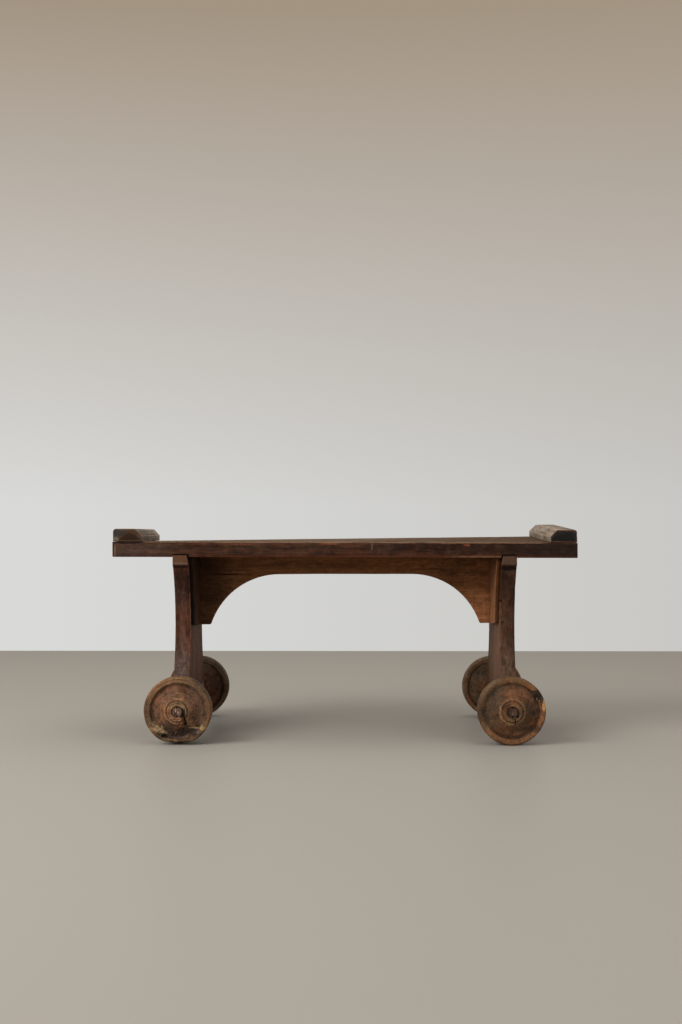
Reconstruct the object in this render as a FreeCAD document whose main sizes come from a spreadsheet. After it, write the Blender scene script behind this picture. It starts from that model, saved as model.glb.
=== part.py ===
"""Old wheeled plant stand: a plank top on two waisted slab legs, with four turned wooden wheels.

Frame: +X along the top, +Y to the back, +Z up, the origin on the floor under the middle of the top.
All sizes are in millimetres.
"""
import FreeCAD, Part
import math
import os
from types import SimpleNamespace

import Sketcher

# Driving dimensions. Each is set by itself; what seats, fits or lines up is worked out from them.
SIZES = {
    # top board
    "board_length": 900,
    "board_depth": 300,
    "board_thickness": 30,
    "board_rounding": 2,
    # end cleats, let into the ends of the board and raised above it
    "cleat_width": 55,
    "cleat_height": 27,
    "cleat_housing_depth": 2,
    "cleat_bevel": 13.5,
    "cleat_rounding": 6,
    "cleat_inset": 1,
    # slab legs: from the shoulder on the axle to the top, which is let into the board
    "leg_height": 273,
    "leg_thickness": 30,
    "board_overhang": 117.5,
    "housing_depth": 4,
    "lip_height": 15,
    "lip_step": 3.5,
    "waist_setback": 45,
    "waist_low": 129,
    "waist_high": 136,
    "foot_setback": 8,
    "foot_cove_radius": 165,
    # tenons at both ends of a leg
    "tenon_thickness": 10,
    "tenon_width": 60,
    "tenon_spacing": 140,
    "top_tenon_length": 15,
    "foot_tenon_length": 26,
    "peg_diameter": 7,
    "peg_proud": 1,
    # backing boards on the inner faces of the legs
    "backing_thickness": 8,
    "backing_inset": 6,
    "groove_depth": 4,
    # arched apron between the backing boards
    "apron_thickness": 20,
    "apron_middle_depth": 38.5,
    "apron_end_depth": 138,
    "apron_foot_width": 21.1,
    "arch_radius": 146,
    # axles: a square beam under each leg with a round journal at each end
    "axle_beam_height": 42,
    "axle_shoulder_setback": 7,
    "axle_beam_rounding": 3,
    "journal_diameter": 16,
    "journal_flare": 1.2,
    "journal_recess": 1.5,
    "wedge_length": 16,
    "wedge_thick_end": 2.6,
    "wedge_thin_end": 1.2,
    # turned wheels: the rim, then the hub that stands out on both sides of it
    "wheel_diameter": 130,
    "rim_length": 36,
    "rim_width": 11,
    "rim_step": 5,
    "rim_rounding": 4,
    "tread_taper": 1,
    "web_rise": 6,
    "ring_diameter": 51,
    "ring_width": 5,
    "ring_height": 2,
    "boss_diameter": 37,
    "boss_height": 5,
    "mouth_diameter": 21,
    "mouth_depth": 6,
    "inner_hub_diameter": 52,
    "inner_hub_height": 21.5,
    # nails
    "nail_diameter": 3.4,
    "nail_point_length": 6,
    "nail_head_diameter": 7.5,
    "nail_head_thickness": 1.4,
    "cleat_nail_length": 40,
    "cleat_nail_spacing": 110,
    "backing_nail_length": 26,
    "backing_nail_spacing": 120,
    "backing_nail_margin": 24,
    # fits
    "joint_gap": 0.1,
    "running_gap": 0.08,
    "side_play": 0.5,
    "overrun": 5,
}


class Measure:
    """A size that keeps its value and the formula it comes from, so that a feature can follow the sheet."""

    def __init__(self, value, formula):
        self.value = value
        self.formula = formula

    def __add__(self, other):
        other = as_measure(other)
        return Measure(self.value + other.value, f"({self.formula} + {other.formula})")

    def __sub__(self, other):
        other = as_measure(other)
        return Measure(self.value - other.value, f"({self.formula} - {other.formula})")

    def __mul__(self, other):
        other = as_measure(other)
        return Measure(self.value * other.value, f"({self.formula} * {other.formula})")

    def __truediv__(self, other):
        other = as_measure(other)
        return Measure(self.value / other.value, f"({self.formula} / {other.formula})")

    def __neg__(self):
        return Measure(-self.value, f"(0 - {self.formula})")


def as_measure(number):
    return number if isinstance(number, Measure) else Measure(number, str(number))


def root(measure):
    return Measure(math.sqrt(measure.value), f"sqrt({measure.formula})")


def rise_of_arc(radius, run):
    """How far an arc of this radius has left its tangent after this run along it."""
    return radius - root(radius * radius - run * run)


def run_of_arc(radius, rise):
    """How far an arc of this radius runs along its tangent before it has left it by this rise."""
    return root(radius * radius - (radius - rise) * (radius - rise))


def radius_of_arc(run, rise):
    """The radius of the arc that leaves its tangent by this rise over this run."""
    return (run * run + rise * rise) / (rise * 2)


MIDDLE = Measure(0, "0")
size = SimpleNamespace(**{name: Measure(value, f"Sizes.{name}") for name, value in SIZES.items()})

# Places that several pieces share.
half_depth = size.board_depth / 2
leg_place = size.board_length / 2 - size.board_overhang - size.leg_thickness / 2
axle_level = size.wheel_diameter / 2
foot_level = axle_level + size.axle_beam_height / 2
under_board = foot_level + size.leg_height - size.housing_depth
on_board = under_board + size.board_thickness
under_cleat = on_board - size.cleat_housing_depth
on_cleat = under_cleat + size.cleat_height
lip_bottom = size.leg_height - size.housing_depth - size.lip_height
scoop_radius = radius_of_arc(lip_bottom - size.waist_high, size.waist_setback - size.lip_step)
leg_inner_face = leg_place - size.leg_thickness / 2
backing_face = leg_inner_face - size.backing_thickness
cleat_inner_face = size.board_length / 2 - size.cleat_inset - size.cleat_width
cleat_nail_place = cleat_inner_face + size.cleat_width / 2
cleat_nail_rows = (-size.cleat_nail_spacing, MIDDLE, size.cleat_nail_spacing)
backing_nail_columns = (-size.backing_nail_spacing / 2, size.backing_nail_spacing / 2)
backing_nail_rows = (
    size.waist_high + size.backing_nail_margin,
    size.leg_height - size.housing_depth - size.backing_nail_margin,
)
tenon_places = (-size.tenon_spacing / 2, size.tenon_spacing / 2)
axle_shoulder = half_depth - size.axle_shoulder_setback
wheel_place = axle_shoulder + size.side_play + size.inner_hub_height + size.rim_length / 2
hub_face = size.rim_length / 2 + size.web_rise + size.boss_height
journal_end = wheel_place + hub_face - size.journal_recess
journal_radius = size.journal_diameter / 2

document = FreeCAD.newDocument("plant_stand")
sheet = document.addObject("Spreadsheet::Sheet", "Sizes")
for row, (alias, number) in enumerate(SIZES.items(), start=1):
    sheet.set(f"A{row}", alias)
    sheet.set(f"B{row}", str(number))
    sheet.setAlias(f"B{row}", alias)
document.recompute()
pieces = []


# ---- drawing and feature helpers ----

def new_body(label):
    body = document.addObject("PartDesign::Body", label)
    body.Label = label
    pieces.append(body)
    return body


def set_place(item, across=None, along=None, up=None, turn=0):
    """Turns an item about the vertical by this many degrees and ties its place to the sheet."""
    item.Placement = FreeCAD.Placement(FreeCAD.Vector(), FreeCAD.Rotation(FreeCAD.Vector(0, 0, 1), turn))
    for axis, place in (("x", across), ("y", along), ("z", up)):
        if place is not None:
            item.setExpression(f"Placement.Base.{axis}", place.formula)


def new_sketch(body, plane, name, level=None):
    """A sketch on one of the body's own planes, or at a level above it."""
    sketch = body.newObject("Sketcher::SketchObject", name)
    support = [item for item in body.Origin.OriginFeatures if item.Role == plane][0]
    sketch.AttachmentSupport = [(support, "")]
    sketch.MapMode = "FlatFace"
    if level is not None:
        sketch.setExpression("AttachmentOffset.Base.z", level.formula)
    return sketch


def tie_point(sketch, side, end, across, up):
    """Ties one end of a side to the sheet, measured from the sketch's origin."""
    for kind, place, axis in (("DistanceX", across, -2), ("DistanceY", up, -1)):
        if place is MIDDLE:
            sketch.addConstraint(Sketcher.Constraint("PointOnObject", side, end, axis))
        else:
            constraint = Sketcher.Constraint(kind, -1, 1, side, end, place.value)
            number = sketch.addConstraint(constraint)
            sketch.setExpression(f"Constraints[{number}]", place.formula)


def arc_between(start, finish, radius, turn):
    """The short arc from start to finish; turn is 1 if it bends left on the way and -1 if right."""
    chord = finish - start
    middle = (start + finish) * 0.5
    left = FreeCAD.Vector(-chord.y, chord.x, 0).normalize()
    centre = middle + left * (turn * math.sqrt(radius ** 2 - (chord.Length / 2) ** 2))
    first, last = (start, finish) if turn > 0 else (finish, start)
    angles = [math.atan2(point.y - centre.y, point.x - centre.x) for point in (first, last)]
    if angles[1] < angles[0]:
        angles[1] += 2 * math.pi
    circle = Part.Circle(centre, FreeCAD.Vector(0, 0, 1), radius)
    return Part.ArcOfCircle(circle, angles[0], angles[1])


def draw_outline(sketch, corners):
    """Draws a closed outline. A corner is (across, up) or (across, up, (radius, turn)) before an arc."""
    first_side = len(sketch.Geometry)
    ends = []
    for index, corner in enumerate(corners):
        following = corners[(index + 1) % len(corners)]
        start = FreeCAD.Vector(corner[0].value, corner[1].value, 0)
        finish = FreeCAD.Vector(following[0].value, following[1].value, 0)
        if len(corner) == 3:
            radius, turn = corner[2]
            side = sketch.addGeometry(arc_between(start, finish, radius.value, turn), False)
            number = sketch.addConstraint(Sketcher.Constraint("Radius", side, radius.value))
            sketch.setExpression(f"Constraints[{number}]", radius.formula)
            ends.append((1, 2) if turn > 0 else (2, 1))
        else:
            sketch.addGeometry(Part.LineSegment(start, finish), False)
            ends.append((1, 2))
    for index, corner in enumerate(corners):
        before = index - 1
        side = first_side + index
        side_before = first_side + (before % len(corners))
        joined = Sketcher.Constraint("Coincident", side_before, ends[before][1], side, ends[index][0])
        sketch.addConstraint(joined)
        tie_point(sketch, side, ends[index][0], corner[0], corner[1])


def draw_box(sketch, left, right, low, high):
    draw_outline(sketch, [(left, low), (right, low), (right, high), (left, high)])


def draw_circle(sketch, across, up, radius):
    circle = Part.Circle(FreeCAD.Vector(across.value, up.value, 0), FreeCAD.Vector(0, 0, 1), radius.value)
    side = sketch.addGeometry(circle, False)
    number = sketch.addConstraint(Sketcher.Constraint("Radius", side, radius.value))
    sketch.setExpression(f"Constraints[{number}]", radius.formula)
    tie_point(sketch, side, 3, across, up)


def with_mirror(right_half):
    """The whole outline from its right half: the left half runs back the other way."""
    left_half = []
    for index in reversed(range(len(right_half))):
        across, up = right_half[index][:2]
        arc_here = right_half[index - 1][2:] if index > 0 else ()
        left_half.append((-across, up) + tuple(arc_here))
    return right_half + left_half


def pad(body, sketch, name, length, both_ways=True):
    feature = body.newObject("PartDesign::Pad", name)
    feature.Profile = sketch
    feature.SideType = "Symmetric" if both_ways else "One side"
    feature.setExpression("Length", length.formula)
    document.recompute()
    return feature


def pocket(body, sketch, name, depth=None, against_normal=True, both_ways=False):
    """Cuts a sketch into the body, to a depth or right through, and checks that it did cut."""
    before = body.Shape.Volume
    feature = body.newObject("PartDesign::Pocket", name)
    feature.Profile = sketch
    feature.SideType = "Symmetric" if both_ways else "One side"
    feature.Reversed = not against_normal
    if depth is None:
        feature.Type = "ThroughAll"
    else:
        feature.setExpression("Length", depth.formula)
    document.recompute()
    if not body.Shape.Volume < before:
        raise RuntimeError(f"{name} cuts nothing out of {body.Label}")
    return feature


def revolve(body, sketch, name):
    """Turns a profile about the sketch's horizontal axis."""
    feature = body.newObject("PartDesign::Revolution", name)
    feature.Profile = sketch
    feature.ReferenceAxis = (sketch, ["H_Axis"])
    document.recompute()
    return feature


def round_edges(body, name, radius, chosen):
    """Rounds the edges of the body's last feature for which chosen(edge) is true."""
    last = body.Tip
    names = [f"Edge{number}" for number, edge in enumerate(last.Shape.Edges, start=1) if chosen(edge)]
    feature = body.newObject("PartDesign::Fillet", name)
    feature.Base = (last, names)
    feature.setExpression("Radius", radius.formula)
    document.recompute()
    return feature


# ---- the pieces ----

def make_board():
    """The plank top: a shallow housing at each end for a cleat, and one in the underside for each leg."""
    body = new_body("top_board")
    set_place(body, up=under_board)
    half_length = size.board_length / 2
    outline = new_sketch(body, "XY_Plane", "board_outline")
    draw_box(outline, -half_length, half_length, -half_depth, half_depth)
    pad(body, outline, "board_plank", size.board_thickness, both_ways=False)
    round_edges(body, "board_arrises", size.board_rounding, lambda edge: True)

    housings = new_sketch(body, "XY_Plane", "leg_housings")
    mortises = new_sketch(body, "XY_Plane", "leg_mortises")
    half_housing = size.leg_thickness / 2 + size.joint_gap
    half_mortise = size.tenon_thickness / 2 + size.joint_gap
    half_slot = size.tenon_width / 2 + size.joint_gap
    run_out = half_depth + size.overrun
    for leg in (-leg_place, leg_place):
        draw_box(housings, leg - half_housing, leg + half_housing, -run_out, run_out)
        for tenon in tenon_places:
            draw_box(mortises, leg - half_mortise, leg + half_mortise, tenon - half_slot, tenon + half_slot)
    pocket(body, housings, "cut_housings", size.housing_depth, against_normal=False)
    mortise_depth = size.housing_depth + size.top_tenon_length + size.joint_gap
    pocket(body, mortises, "cut_mortises", mortise_depth, against_normal=False)

    cleat_housings = new_sketch(body, "XY_Plane", "cleat_housings", level=size.board_thickness)
    nail_holes = new_sketch(body, "XY_Plane", "nail_holes", level=size.board_thickness)
    housing_start = cleat_inner_face - size.joint_gap
    housing_end = half_length + size.overrun
    draw_box(cleat_housings, -housing_end, -housing_start, -run_out, run_out)
    draw_box(cleat_housings, housing_start, housing_end, -run_out, run_out)
    for place in (-cleat_nail_place, cleat_nail_place):
        for nail_row in cleat_nail_rows:
            draw_circle(nail_holes, place, nail_row, size.nail_diameter / 2 + size.joint_gap)
    pocket(body, cleat_housings, "cut_cleat_housings", size.cleat_housing_depth)
    hole_depth = size.cleat_nail_length - (on_cleat - on_board) + size.joint_gap
    pocket(body, nail_holes, "cut_nail_holes", hole_depth)


def make_cleat(label, side):
    """A batten across one end of the board: its outer arris is rounded, its inner arris has a wide bevel."""
    body = new_body(label)
    outer_face = cleat_inner_face + size.cleat_width
    set_place(body, across=outer_face * side, up=under_cleat, turn=90 - 90 * side)
    profile = new_sketch(body, "XZ_Plane", "cleat_profile")
    rounding = size.cleat_rounding
    draw_outline(profile, [
        (MIDDLE, MIDDLE),
        (MIDDLE, size.cleat_height - rounding, (rounding, 1)),
        (-rounding, size.cleat_height),
        (size.cleat_bevel - size.cleat_width, size.cleat_height),
        (-size.cleat_width, size.cleat_height - size.cleat_bevel),
        (-size.cleat_width, MIDDLE),
    ])
    pad(body, profile, "cleat_batten", size.board_depth)

    head_holes = new_sketch(body, "XY_Plane", "nail_head_sinks", level=size.cleat_height)
    shank_holes = new_sketch(body, "XY_Plane", "nail_shank_holes", level=size.cleat_height)
    for nail_row in cleat_nail_rows:
        middle = -size.cleat_width / 2
        draw_circle(head_holes, middle, nail_row, size.nail_head_diameter / 2 + size.joint_gap)
        draw_circle(shank_holes, middle, nail_row, size.nail_diameter / 2 + size.joint_gap)
    pocket(body, head_holes, "sink_nail_heads", size.nail_head_thickness)
    pocket(body, shank_holes, "drill_nail_shanks")


def make_leg(label, side):
    """A slab leg: a square lip under the board, a long scoop to the waist, and a cove out to the foot."""
    body = new_body(label)
    set_place(body, across=leg_place * side, up=foot_level, turn=90 + 90 * side)
    waist = half_depth - size.waist_setback
    foot = half_depth - size.foot_setback
    cove_height = run_of_arc(size.foot_cove_radius, size.waist_setback - size.foot_setback)
    profile = new_sketch(body, "YZ_Plane", "leg_profile")
    draw_outline(profile, with_mirror([
        (foot, MIDDLE),
        (foot, size.waist_low - cove_height, (size.foot_cove_radius, -1)),
        (waist, size.waist_low),
        (waist, size.waist_high, (scoop_radius, -1)),
        (half_depth - size.lip_step, lip_bottom),
        (half_depth, lip_bottom),
        (half_depth, size.leg_height),
    ]))
    pad(body, profile, "leg_slab", size.leg_thickness)

    tenons = new_sketch(body, "YZ_Plane", "tenon_outlines")
    for tenon in tenon_places:
        left = tenon - size.tenon_width / 2
        right = tenon + size.tenon_width / 2
        draw_box(tenons, left, right, size.leg_height, size.leg_height + size.top_tenon_length)
        draw_box(tenons, left, right, -size.foot_tenon_length, MIDDLE)
    pad(body, tenons, "leg_tenons", size.tenon_thickness)

    peg_holes = new_sketch(body, "YZ_Plane", "peg_holes")
    for tenon in tenon_places:
        draw_circle(peg_holes, tenon, -size.foot_tenon_length / 2, size.peg_diameter / 2 + size.joint_gap)
    pocket(body, peg_holes, "bore_peg_holes", both_ways=True)

    nail_holes = new_sketch(body, "YZ_Plane", "nail_holes", level=size.leg_thickness / 2)
    for nail_column in backing_nail_columns:
        for nail_row in backing_nail_rows:
            draw_circle(nail_holes, nail_column, nail_row, size.nail_diameter / 2 + size.joint_gap)
    hole_depth = size.backing_nail_length - size.backing_thickness + size.joint_gap
    pocket(body, nail_holes, "cut_nail_holes", hole_depth)


def make_backing(label, side):
    """A thin board on a leg's inner face, a little inside the leg's outline, grooved for the apron."""
    body = new_body(label)
    set_place(body, across=leg_inner_face * side, up=foot_level, turn=90 + 90 * side)
    top = size.leg_height - size.housing_depth
    edge_radius = scoop_radius + size.backing_inset
    low_edge = half_depth - size.waist_setback - size.backing_inset
    high_edge = low_edge + rise_of_arc(edge_radius, lip_bottom - size.waist_high)
    outline = new_sketch(body, "YZ_Plane", "backing_outline")
    draw_outline(outline, with_mirror([
        (low_edge, size.waist_high, (edge_radius, -1)),
        (high_edge, lip_bottom),
        (high_edge, top),
    ]))
    pad(body, outline, "backing_board", size.backing_thickness, both_ways=False)

    groove = new_sketch(body, "YZ_Plane", "apron_groove", level=size.backing_thickness)
    half_groove = size.apron_thickness / 2 + size.joint_gap
    draw_box(groove, -half_groove, half_groove, size.waist_high - size.overrun, top + size.overrun)
    pocket(body, groove, "cut_groove", size.groove_depth)

    head_holes = new_sketch(body, "YZ_Plane", "nail_head_sinks", level=size.backing_thickness)
    shank_holes = new_sketch(body, "YZ_Plane", "nail_shank_holes", level=size.backing_thickness)
    for nail_column in backing_nail_columns:
        for nail_row in backing_nail_rows:
            draw_circle(head_holes, nail_column, nail_row, size.nail_head_diameter / 2 + size.joint_gap)
            draw_circle(shank_holes, nail_column, nail_row, size.nail_diameter / 2 + size.joint_gap)
    pocket(body, head_holes, "sink_nail_heads", size.nail_head_thickness)
    pocket(body, shank_holes, "drill_nail_shanks")


def make_apron():
    """The arched board between the legs: a shallow rail in the middle that sweeps down to deep ends."""
    body = new_body("apron")
    set_place(body, up=under_board)
    end = backing_face + size.groove_depth - size.joint_gap
    foot_place = backing_face - size.apron_foot_width
    arch_place = foot_place - run_of_arc(size.arch_radius, size.apron_end_depth - size.apron_middle_depth)
    outline = new_sketch(body, "XZ_Plane", "apron_outline")
    draw_outline(outline, with_mirror([
        (arch_place, -size.apron_middle_depth, (size.arch_radius, -1)),
        (foot_place, -size.apron_end_depth),
        (end, -size.apron_end_depth),
        (end, MIDDLE),
    ]))
    pad(body, outline, "apron_board", size.apron_thickness)


def make_axle(label, side):
    """A beam pegged up under a leg. Its turned ends are split and wedged in the wheels' mouths."""
    body = new_body(label)
    set_place(body, across=leg_place * side, up=axle_level)
    half_width = size.leg_thickness / 2
    half_height = size.axle_beam_height / 2
    section = new_sketch(body, "XZ_Plane", "beam_section")
    draw_box(section, -half_width, half_width, -half_height, half_height)
    pad(body, section, "beam", axle_shoulder * 2)
    round_edges(body, "beam_arrises", size.axle_beam_rounding, lambda edge: edge.BoundBox.ZMax < 0)

    flare_start = wheel_place + hub_face - size.mouth_depth + size.running_gap
    kerf_start = journal_end - size.wedge_length - size.joint_gap
    for name, end in (("front", -1), ("back", 1)):
        profile = new_sketch(body, "YZ_Plane", f"{name}_journal_profile")
        corners = [
            (axle_shoulder * end, MIDDLE),
            (journal_end * end, MIDDLE),
            (journal_end * end, journal_radius + size.journal_flare),
            (flare_start * end, journal_radius),
            (axle_shoulder * end, journal_radius),
        ]
        draw_outline(profile, corners)
        revolve(body, profile, f"{name}_journal")
        kerf = new_sketch(body, "XY_Plane", f"{name}_kerf_outline")
        wide = size.wedge_thick_end / 2 + size.joint_gap
        narrow = size.wedge_thin_end / 2 + size.joint_gap
        slope = (wide - narrow) / size.wedge_length
        mouth = wide + slope * size.overrun
        draw_outline(kerf, [
            (-narrow, kerf_start * end),
            (narrow, kerf_start * end),
            (mouth, (journal_end + size.overrun) * end),
            (-mouth, (journal_end + size.overrun) * end),
        ])
        pocket(body, kerf, f"{name}_kerf", size.journal_diameter * 2, both_ways=True)

    mortises = new_sketch(body, "XY_Plane", "tenon_mortises", level=half_height)
    peg_holes = new_sketch(body, "YZ_Plane", "peg_holes")
    half_mortise = size.tenon_thickness / 2 + size.joint_gap
    half_slot = size.tenon_width / 2 + size.joint_gap
    for tenon in tenon_places:
        draw_box(mortises, -half_mortise, half_mortise, tenon - half_slot, tenon + half_slot)
        peg_level = half_height - size.foot_tenon_length / 2
        draw_circle(peg_holes, tenon, peg_level, size.peg_diameter / 2 + size.joint_gap)
    pocket(body, mortises, "cut_mortises", size.foot_tenon_length + size.joint_gap)
    pocket(body, peg_holes, "bore_peg_holes", both_ways=True)


def make_wedge(label, side, end):
    """The thin wedge that spreads a split axle end inside the wheel's mouth."""
    body = new_body(label)
    set_place(body, across=leg_place * side, up=axle_level)
    thin_place = (journal_end - size.wedge_length) * end
    outline = new_sketch(body, "XY_Plane", "wedge_outline")
    draw_outline(outline, [
        (-size.wedge_thin_end / 2, thin_place),
        (size.wedge_thin_end / 2, thin_place),
        (size.wedge_thick_end / 2, journal_end * end),
        (-size.wedge_thick_end / 2, journal_end * end),
    ])
    pad(body, outline, "wedge_blade", size.journal_diameter - size.wedge_thick_end)


def make_wheel(label, side, end):
    """A wheel turned from one block: a tapered rim, webs that rise to the hub, a beaded ring and a boss."""
    body = new_body(label)
    set_place(body, across=leg_place * side, along=wheel_place * end, up=axle_level, turn=90 - 90 * end)
    rim_face = size.rim_length / 2
    groove_face = rim_face - size.rim_step
    web_top = rim_face + size.web_rise
    radius = size.wheel_diameter / 2
    inner_radius = radius - size.tread_taper
    rim_inside = radius - size.rim_width
    rounding = size.rim_rounding
    small_rounding = rounding / 2
    bore = journal_radius + size.running_gap
    mouth = size.mouth_diameter / 2
    boss = size.boss_diameter / 2
    bead = radius_of_arc(size.ring_width / 2, size.ring_height)
    ring_outside = size.ring_diameter / 2
    inner_hub = size.inner_hub_diameter / 2
    inner_hub_face = -rim_face - size.inner_hub_height
    profile = new_sketch(body, "YZ_Plane", "wheel_profile")
    draw_outline(profile, [
        # the bore and its mouth, then the boss, the ring and the web out to the rim
        (inner_hub_face, bore),
        (hub_face - size.mouth_depth, bore),
        (hub_face, mouth),
        (hub_face, boss),
        (web_top, boss),
        (web_top, ring_outside - size.ring_width, (bead, 1)),
        (web_top, ring_outside),
        (groove_face, rim_inside),
        (rim_face - small_rounding, rim_inside, (small_rounding, -1)),
        (rim_face, rim_inside + small_rounding),
        (rim_face, radius - rounding, (rounding, 1)),
        # the tread, then the inner face back to the hub that runs against the axle's shoulder
        (rim_face - rounding, radius),
        (small_rounding - rim_face, inner_radius, (small_rounding, 1)),
        (-rim_face, inner_radius - small_rounding),
        (-rim_face, rim_inside + small_rounding, (small_rounding, -1)),
        (small_rounding - rim_face, rim_inside),
        (-groove_face, rim_inside),
        (-web_top, inner_hub),
        (inner_hub_face, inner_hub),
    ])
    revolve(body, profile, "wheel_blank")


def make_pegs(label, side):
    """The two pegs that pin a leg's tenons in its axle beam."""
    pegs = []
    for name, tenon in zip(("front", "back"), tenon_places):
        peg = document.addObject("Part::Cylinder", f"{label}_{name}")
        lying = FreeCAD.Rotation(FreeCAD.Vector(0, 1, 0), 90)
        peg.Placement = FreeCAD.Placement(FreeCAD.Vector(), lying)
        length = size.leg_thickness + size.peg_proud * 2
        peg.setExpression("Radius", (size.peg_diameter / 2).formula)
        peg.setExpression("Height", length.formula)
        peg.setExpression("Placement.Base.x", (leg_place * side - length / 2).formula)
        peg.setExpression("Placement.Base.y", tenon.formula)
        peg.setExpression("Placement.Base.z", (foot_level - size.foot_tenon_length / 2).formula)
        pegs.append(peg)
    gather(label, pegs)


def make_nail(name, length, place, lean):
    """One nail with its head's outer face at a place; lean turns its head from straight up, in degrees."""
    head = document.addObject("Part::Cylinder", f"{name}_head")
    head.setExpression("Radius", (size.nail_head_diameter / 2).formula)
    head.setExpression("Height", size.nail_head_thickness.formula)
    head.setExpression("Placement.Base.z", (-size.nail_head_thickness).formula)
    shank = document.addObject("Part::Cylinder", f"{name}_shank")
    shank.setExpression("Radius", (size.nail_diameter / 2).formula)
    shank.setExpression("Height", (length - size.nail_point_length).formula)
    shank.setExpression("Placement.Base.z", (size.nail_point_length - length).formula)
    point = document.addObject("Part::Cone", f"{name}_point")
    point.setExpression("Radius1", (size.nail_diameter / 8).formula)
    point.setExpression("Radius2", (size.nail_diameter / 2).formula)
    point.setExpression("Height", size.nail_point_length.formula)
    point.setExpression("Placement.Base.z", (-length).formula)
    nail = document.addObject("Part::MultiFuse", name)
    nail.Shapes = [head, shank, point]
    nail.Placement = FreeCAD.Placement(FreeCAD.Vector(), FreeCAD.Rotation(FreeCAD.Vector(0, 1, 0), lean))
    for axis, along_axis in zip("xyz", place):
        nail.setExpression(f"Placement.Base.{axis}", along_axis.formula)
    return nail


def make_cleat_nails(label, side):
    nails = []
    for number, nail_row in enumerate(cleat_nail_rows, start=1):
        place = (cleat_nail_place * side, nail_row, on_cleat)
        nails.append(make_nail(f"{label}_{number}", size.cleat_nail_length, place, 0))
    gather(label, nails)


def make_backing_nails(label, side):
    nails = []
    for nail_column in backing_nail_columns:
        for nail_row in backing_nail_rows:
            place = (backing_face * side, nail_column, foot_level + nail_row)
            name = f"{label}_{len(nails) + 1}"
            nails.append(make_nail(name, size.backing_nail_length, place, -90 * side))
    gather(label, nails)


def gather(label, items):
    """Joins like pieces into one sub-part of separate solids."""
    group = document.addObject("Part::Compound", label)
    group.Label = label
    group.Links = items
    pieces.append(group)


def export_pieces():
    """Stops on any failed object, then writes each sub-part to its own file."""
    document.recompute()
    for item in document.Objects:
        if "Invalid" in item.State or "Error" in item.State:
            raise RuntimeError(f"{item.Name} failed: {item.State}")
    os.makedirs("parts", exist_ok=True)
    for piece in pieces:
        if piece.Shape.isNull() or not piece.Shape.isValid() or not piece.Shape.Solids:
            raise RuntimeError(f"{piece.Label} has no sound shape")
        piece.Shape.exportStep(f"parts/{piece.Label}.step")


make_board()
make_apron()
for side_name, side in (("left", -1), ("right", 1)):
    make_cleat(f"cleat_{side_name}", side)
    make_cleat_nails(f"cleat_nails_{side_name}", side)
    make_leg(f"leg_{side_name}", side)
    make_backing(f"backing_{side_name}", side)
    make_backing_nails(f"backing_nails_{side_name}", side)
    make_axle(f"axle_{side_name}", side)
    make_pegs(f"axle_pegs_{side_name}", side)
    for end_name, end in (("front", -1), ("rear", 1)):
        make_wheel(f"wheel_{end_name}_{side_name}", side, end)
        make_wedge(f"wedge_{end_name}_{side_name}", side, end)
export_pieces()
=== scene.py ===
"""Looks of the old wheeled plant stand: worn plank, end cleats, waisted legs, arched apron, turned wheels.

Metres, in the frame of the model: +X along the plank, +Y to the back, +Z up.
Colours are display values, 0 to 255.
"""

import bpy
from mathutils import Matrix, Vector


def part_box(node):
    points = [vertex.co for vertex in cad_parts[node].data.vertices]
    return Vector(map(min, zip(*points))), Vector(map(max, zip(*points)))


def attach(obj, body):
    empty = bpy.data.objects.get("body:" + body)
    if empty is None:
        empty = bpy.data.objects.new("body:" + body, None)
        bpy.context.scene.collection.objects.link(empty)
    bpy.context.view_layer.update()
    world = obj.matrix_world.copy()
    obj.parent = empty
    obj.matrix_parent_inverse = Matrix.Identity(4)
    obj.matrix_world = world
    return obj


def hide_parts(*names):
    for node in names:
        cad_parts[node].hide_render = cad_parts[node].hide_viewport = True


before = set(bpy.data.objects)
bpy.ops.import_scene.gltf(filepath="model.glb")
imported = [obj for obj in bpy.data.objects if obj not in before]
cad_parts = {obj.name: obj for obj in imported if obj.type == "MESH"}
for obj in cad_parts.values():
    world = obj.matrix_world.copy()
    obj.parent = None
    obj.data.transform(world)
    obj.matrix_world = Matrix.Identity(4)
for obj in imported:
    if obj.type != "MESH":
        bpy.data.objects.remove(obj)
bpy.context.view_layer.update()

import math

import bmesh
import bpy
from mathutils import Vector, kdtree, noise

MM = 0.001
HAIR = 0.1 * MM
STAND = "stand"
SIDES = ("left", "right")

board_low, board_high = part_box("top_board")
apron_low, apron_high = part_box("apron")


# ---- sawing, shaping and wearing the wood ----

def rough_block(low, high):
    """A square block between two corners."""
    wood = bmesh.new()
    bmesh.ops.create_cube(wood, size=1.0)
    bmesh.ops.scale(wood, vec=high - low, verts=wood.verts)
    bmesh.ops.translate(wood, vec=(high + low) / 2, verts=wood.verts)
    return wood


def rule_marks(low, high, pitch, margins=(4 * MM, 9 * MM)):
    """Marks along a length: close together near both ends, then an even pitch."""
    first, last = low + margins[-1], high - margins[-1]
    count = max(1, round((last - first) / pitch))
    near_low = [low + margin for margin in margins[:-1]]
    near_high = [high - margin for margin in reversed(margins[:-1])]
    return near_low + [first + (last - first) * step / count for step in range(count + 1)] + near_high


def score_across(wood, axis, marks):
    """Scores the block right round at each mark, so that it can be shaped between them."""
    normal = Vector((0, 0, 0))
    normal[axis] = 1
    for mark in marks:
        everything = wood.verts[:] + wood.edges[:] + wood.faces[:]
        bmesh.ops.bisect_plane(wood, geom=everything, plane_co=normal * mark, plane_no=normal)


def sharp_edges(wood, degrees=28):
    """The edges between faces that meet at more than an angle."""
    angle = math.radians(degrees)
    return [edge for edge in wood.edges if edge.is_manifold and edge.calc_face_angle() > angle]


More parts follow.
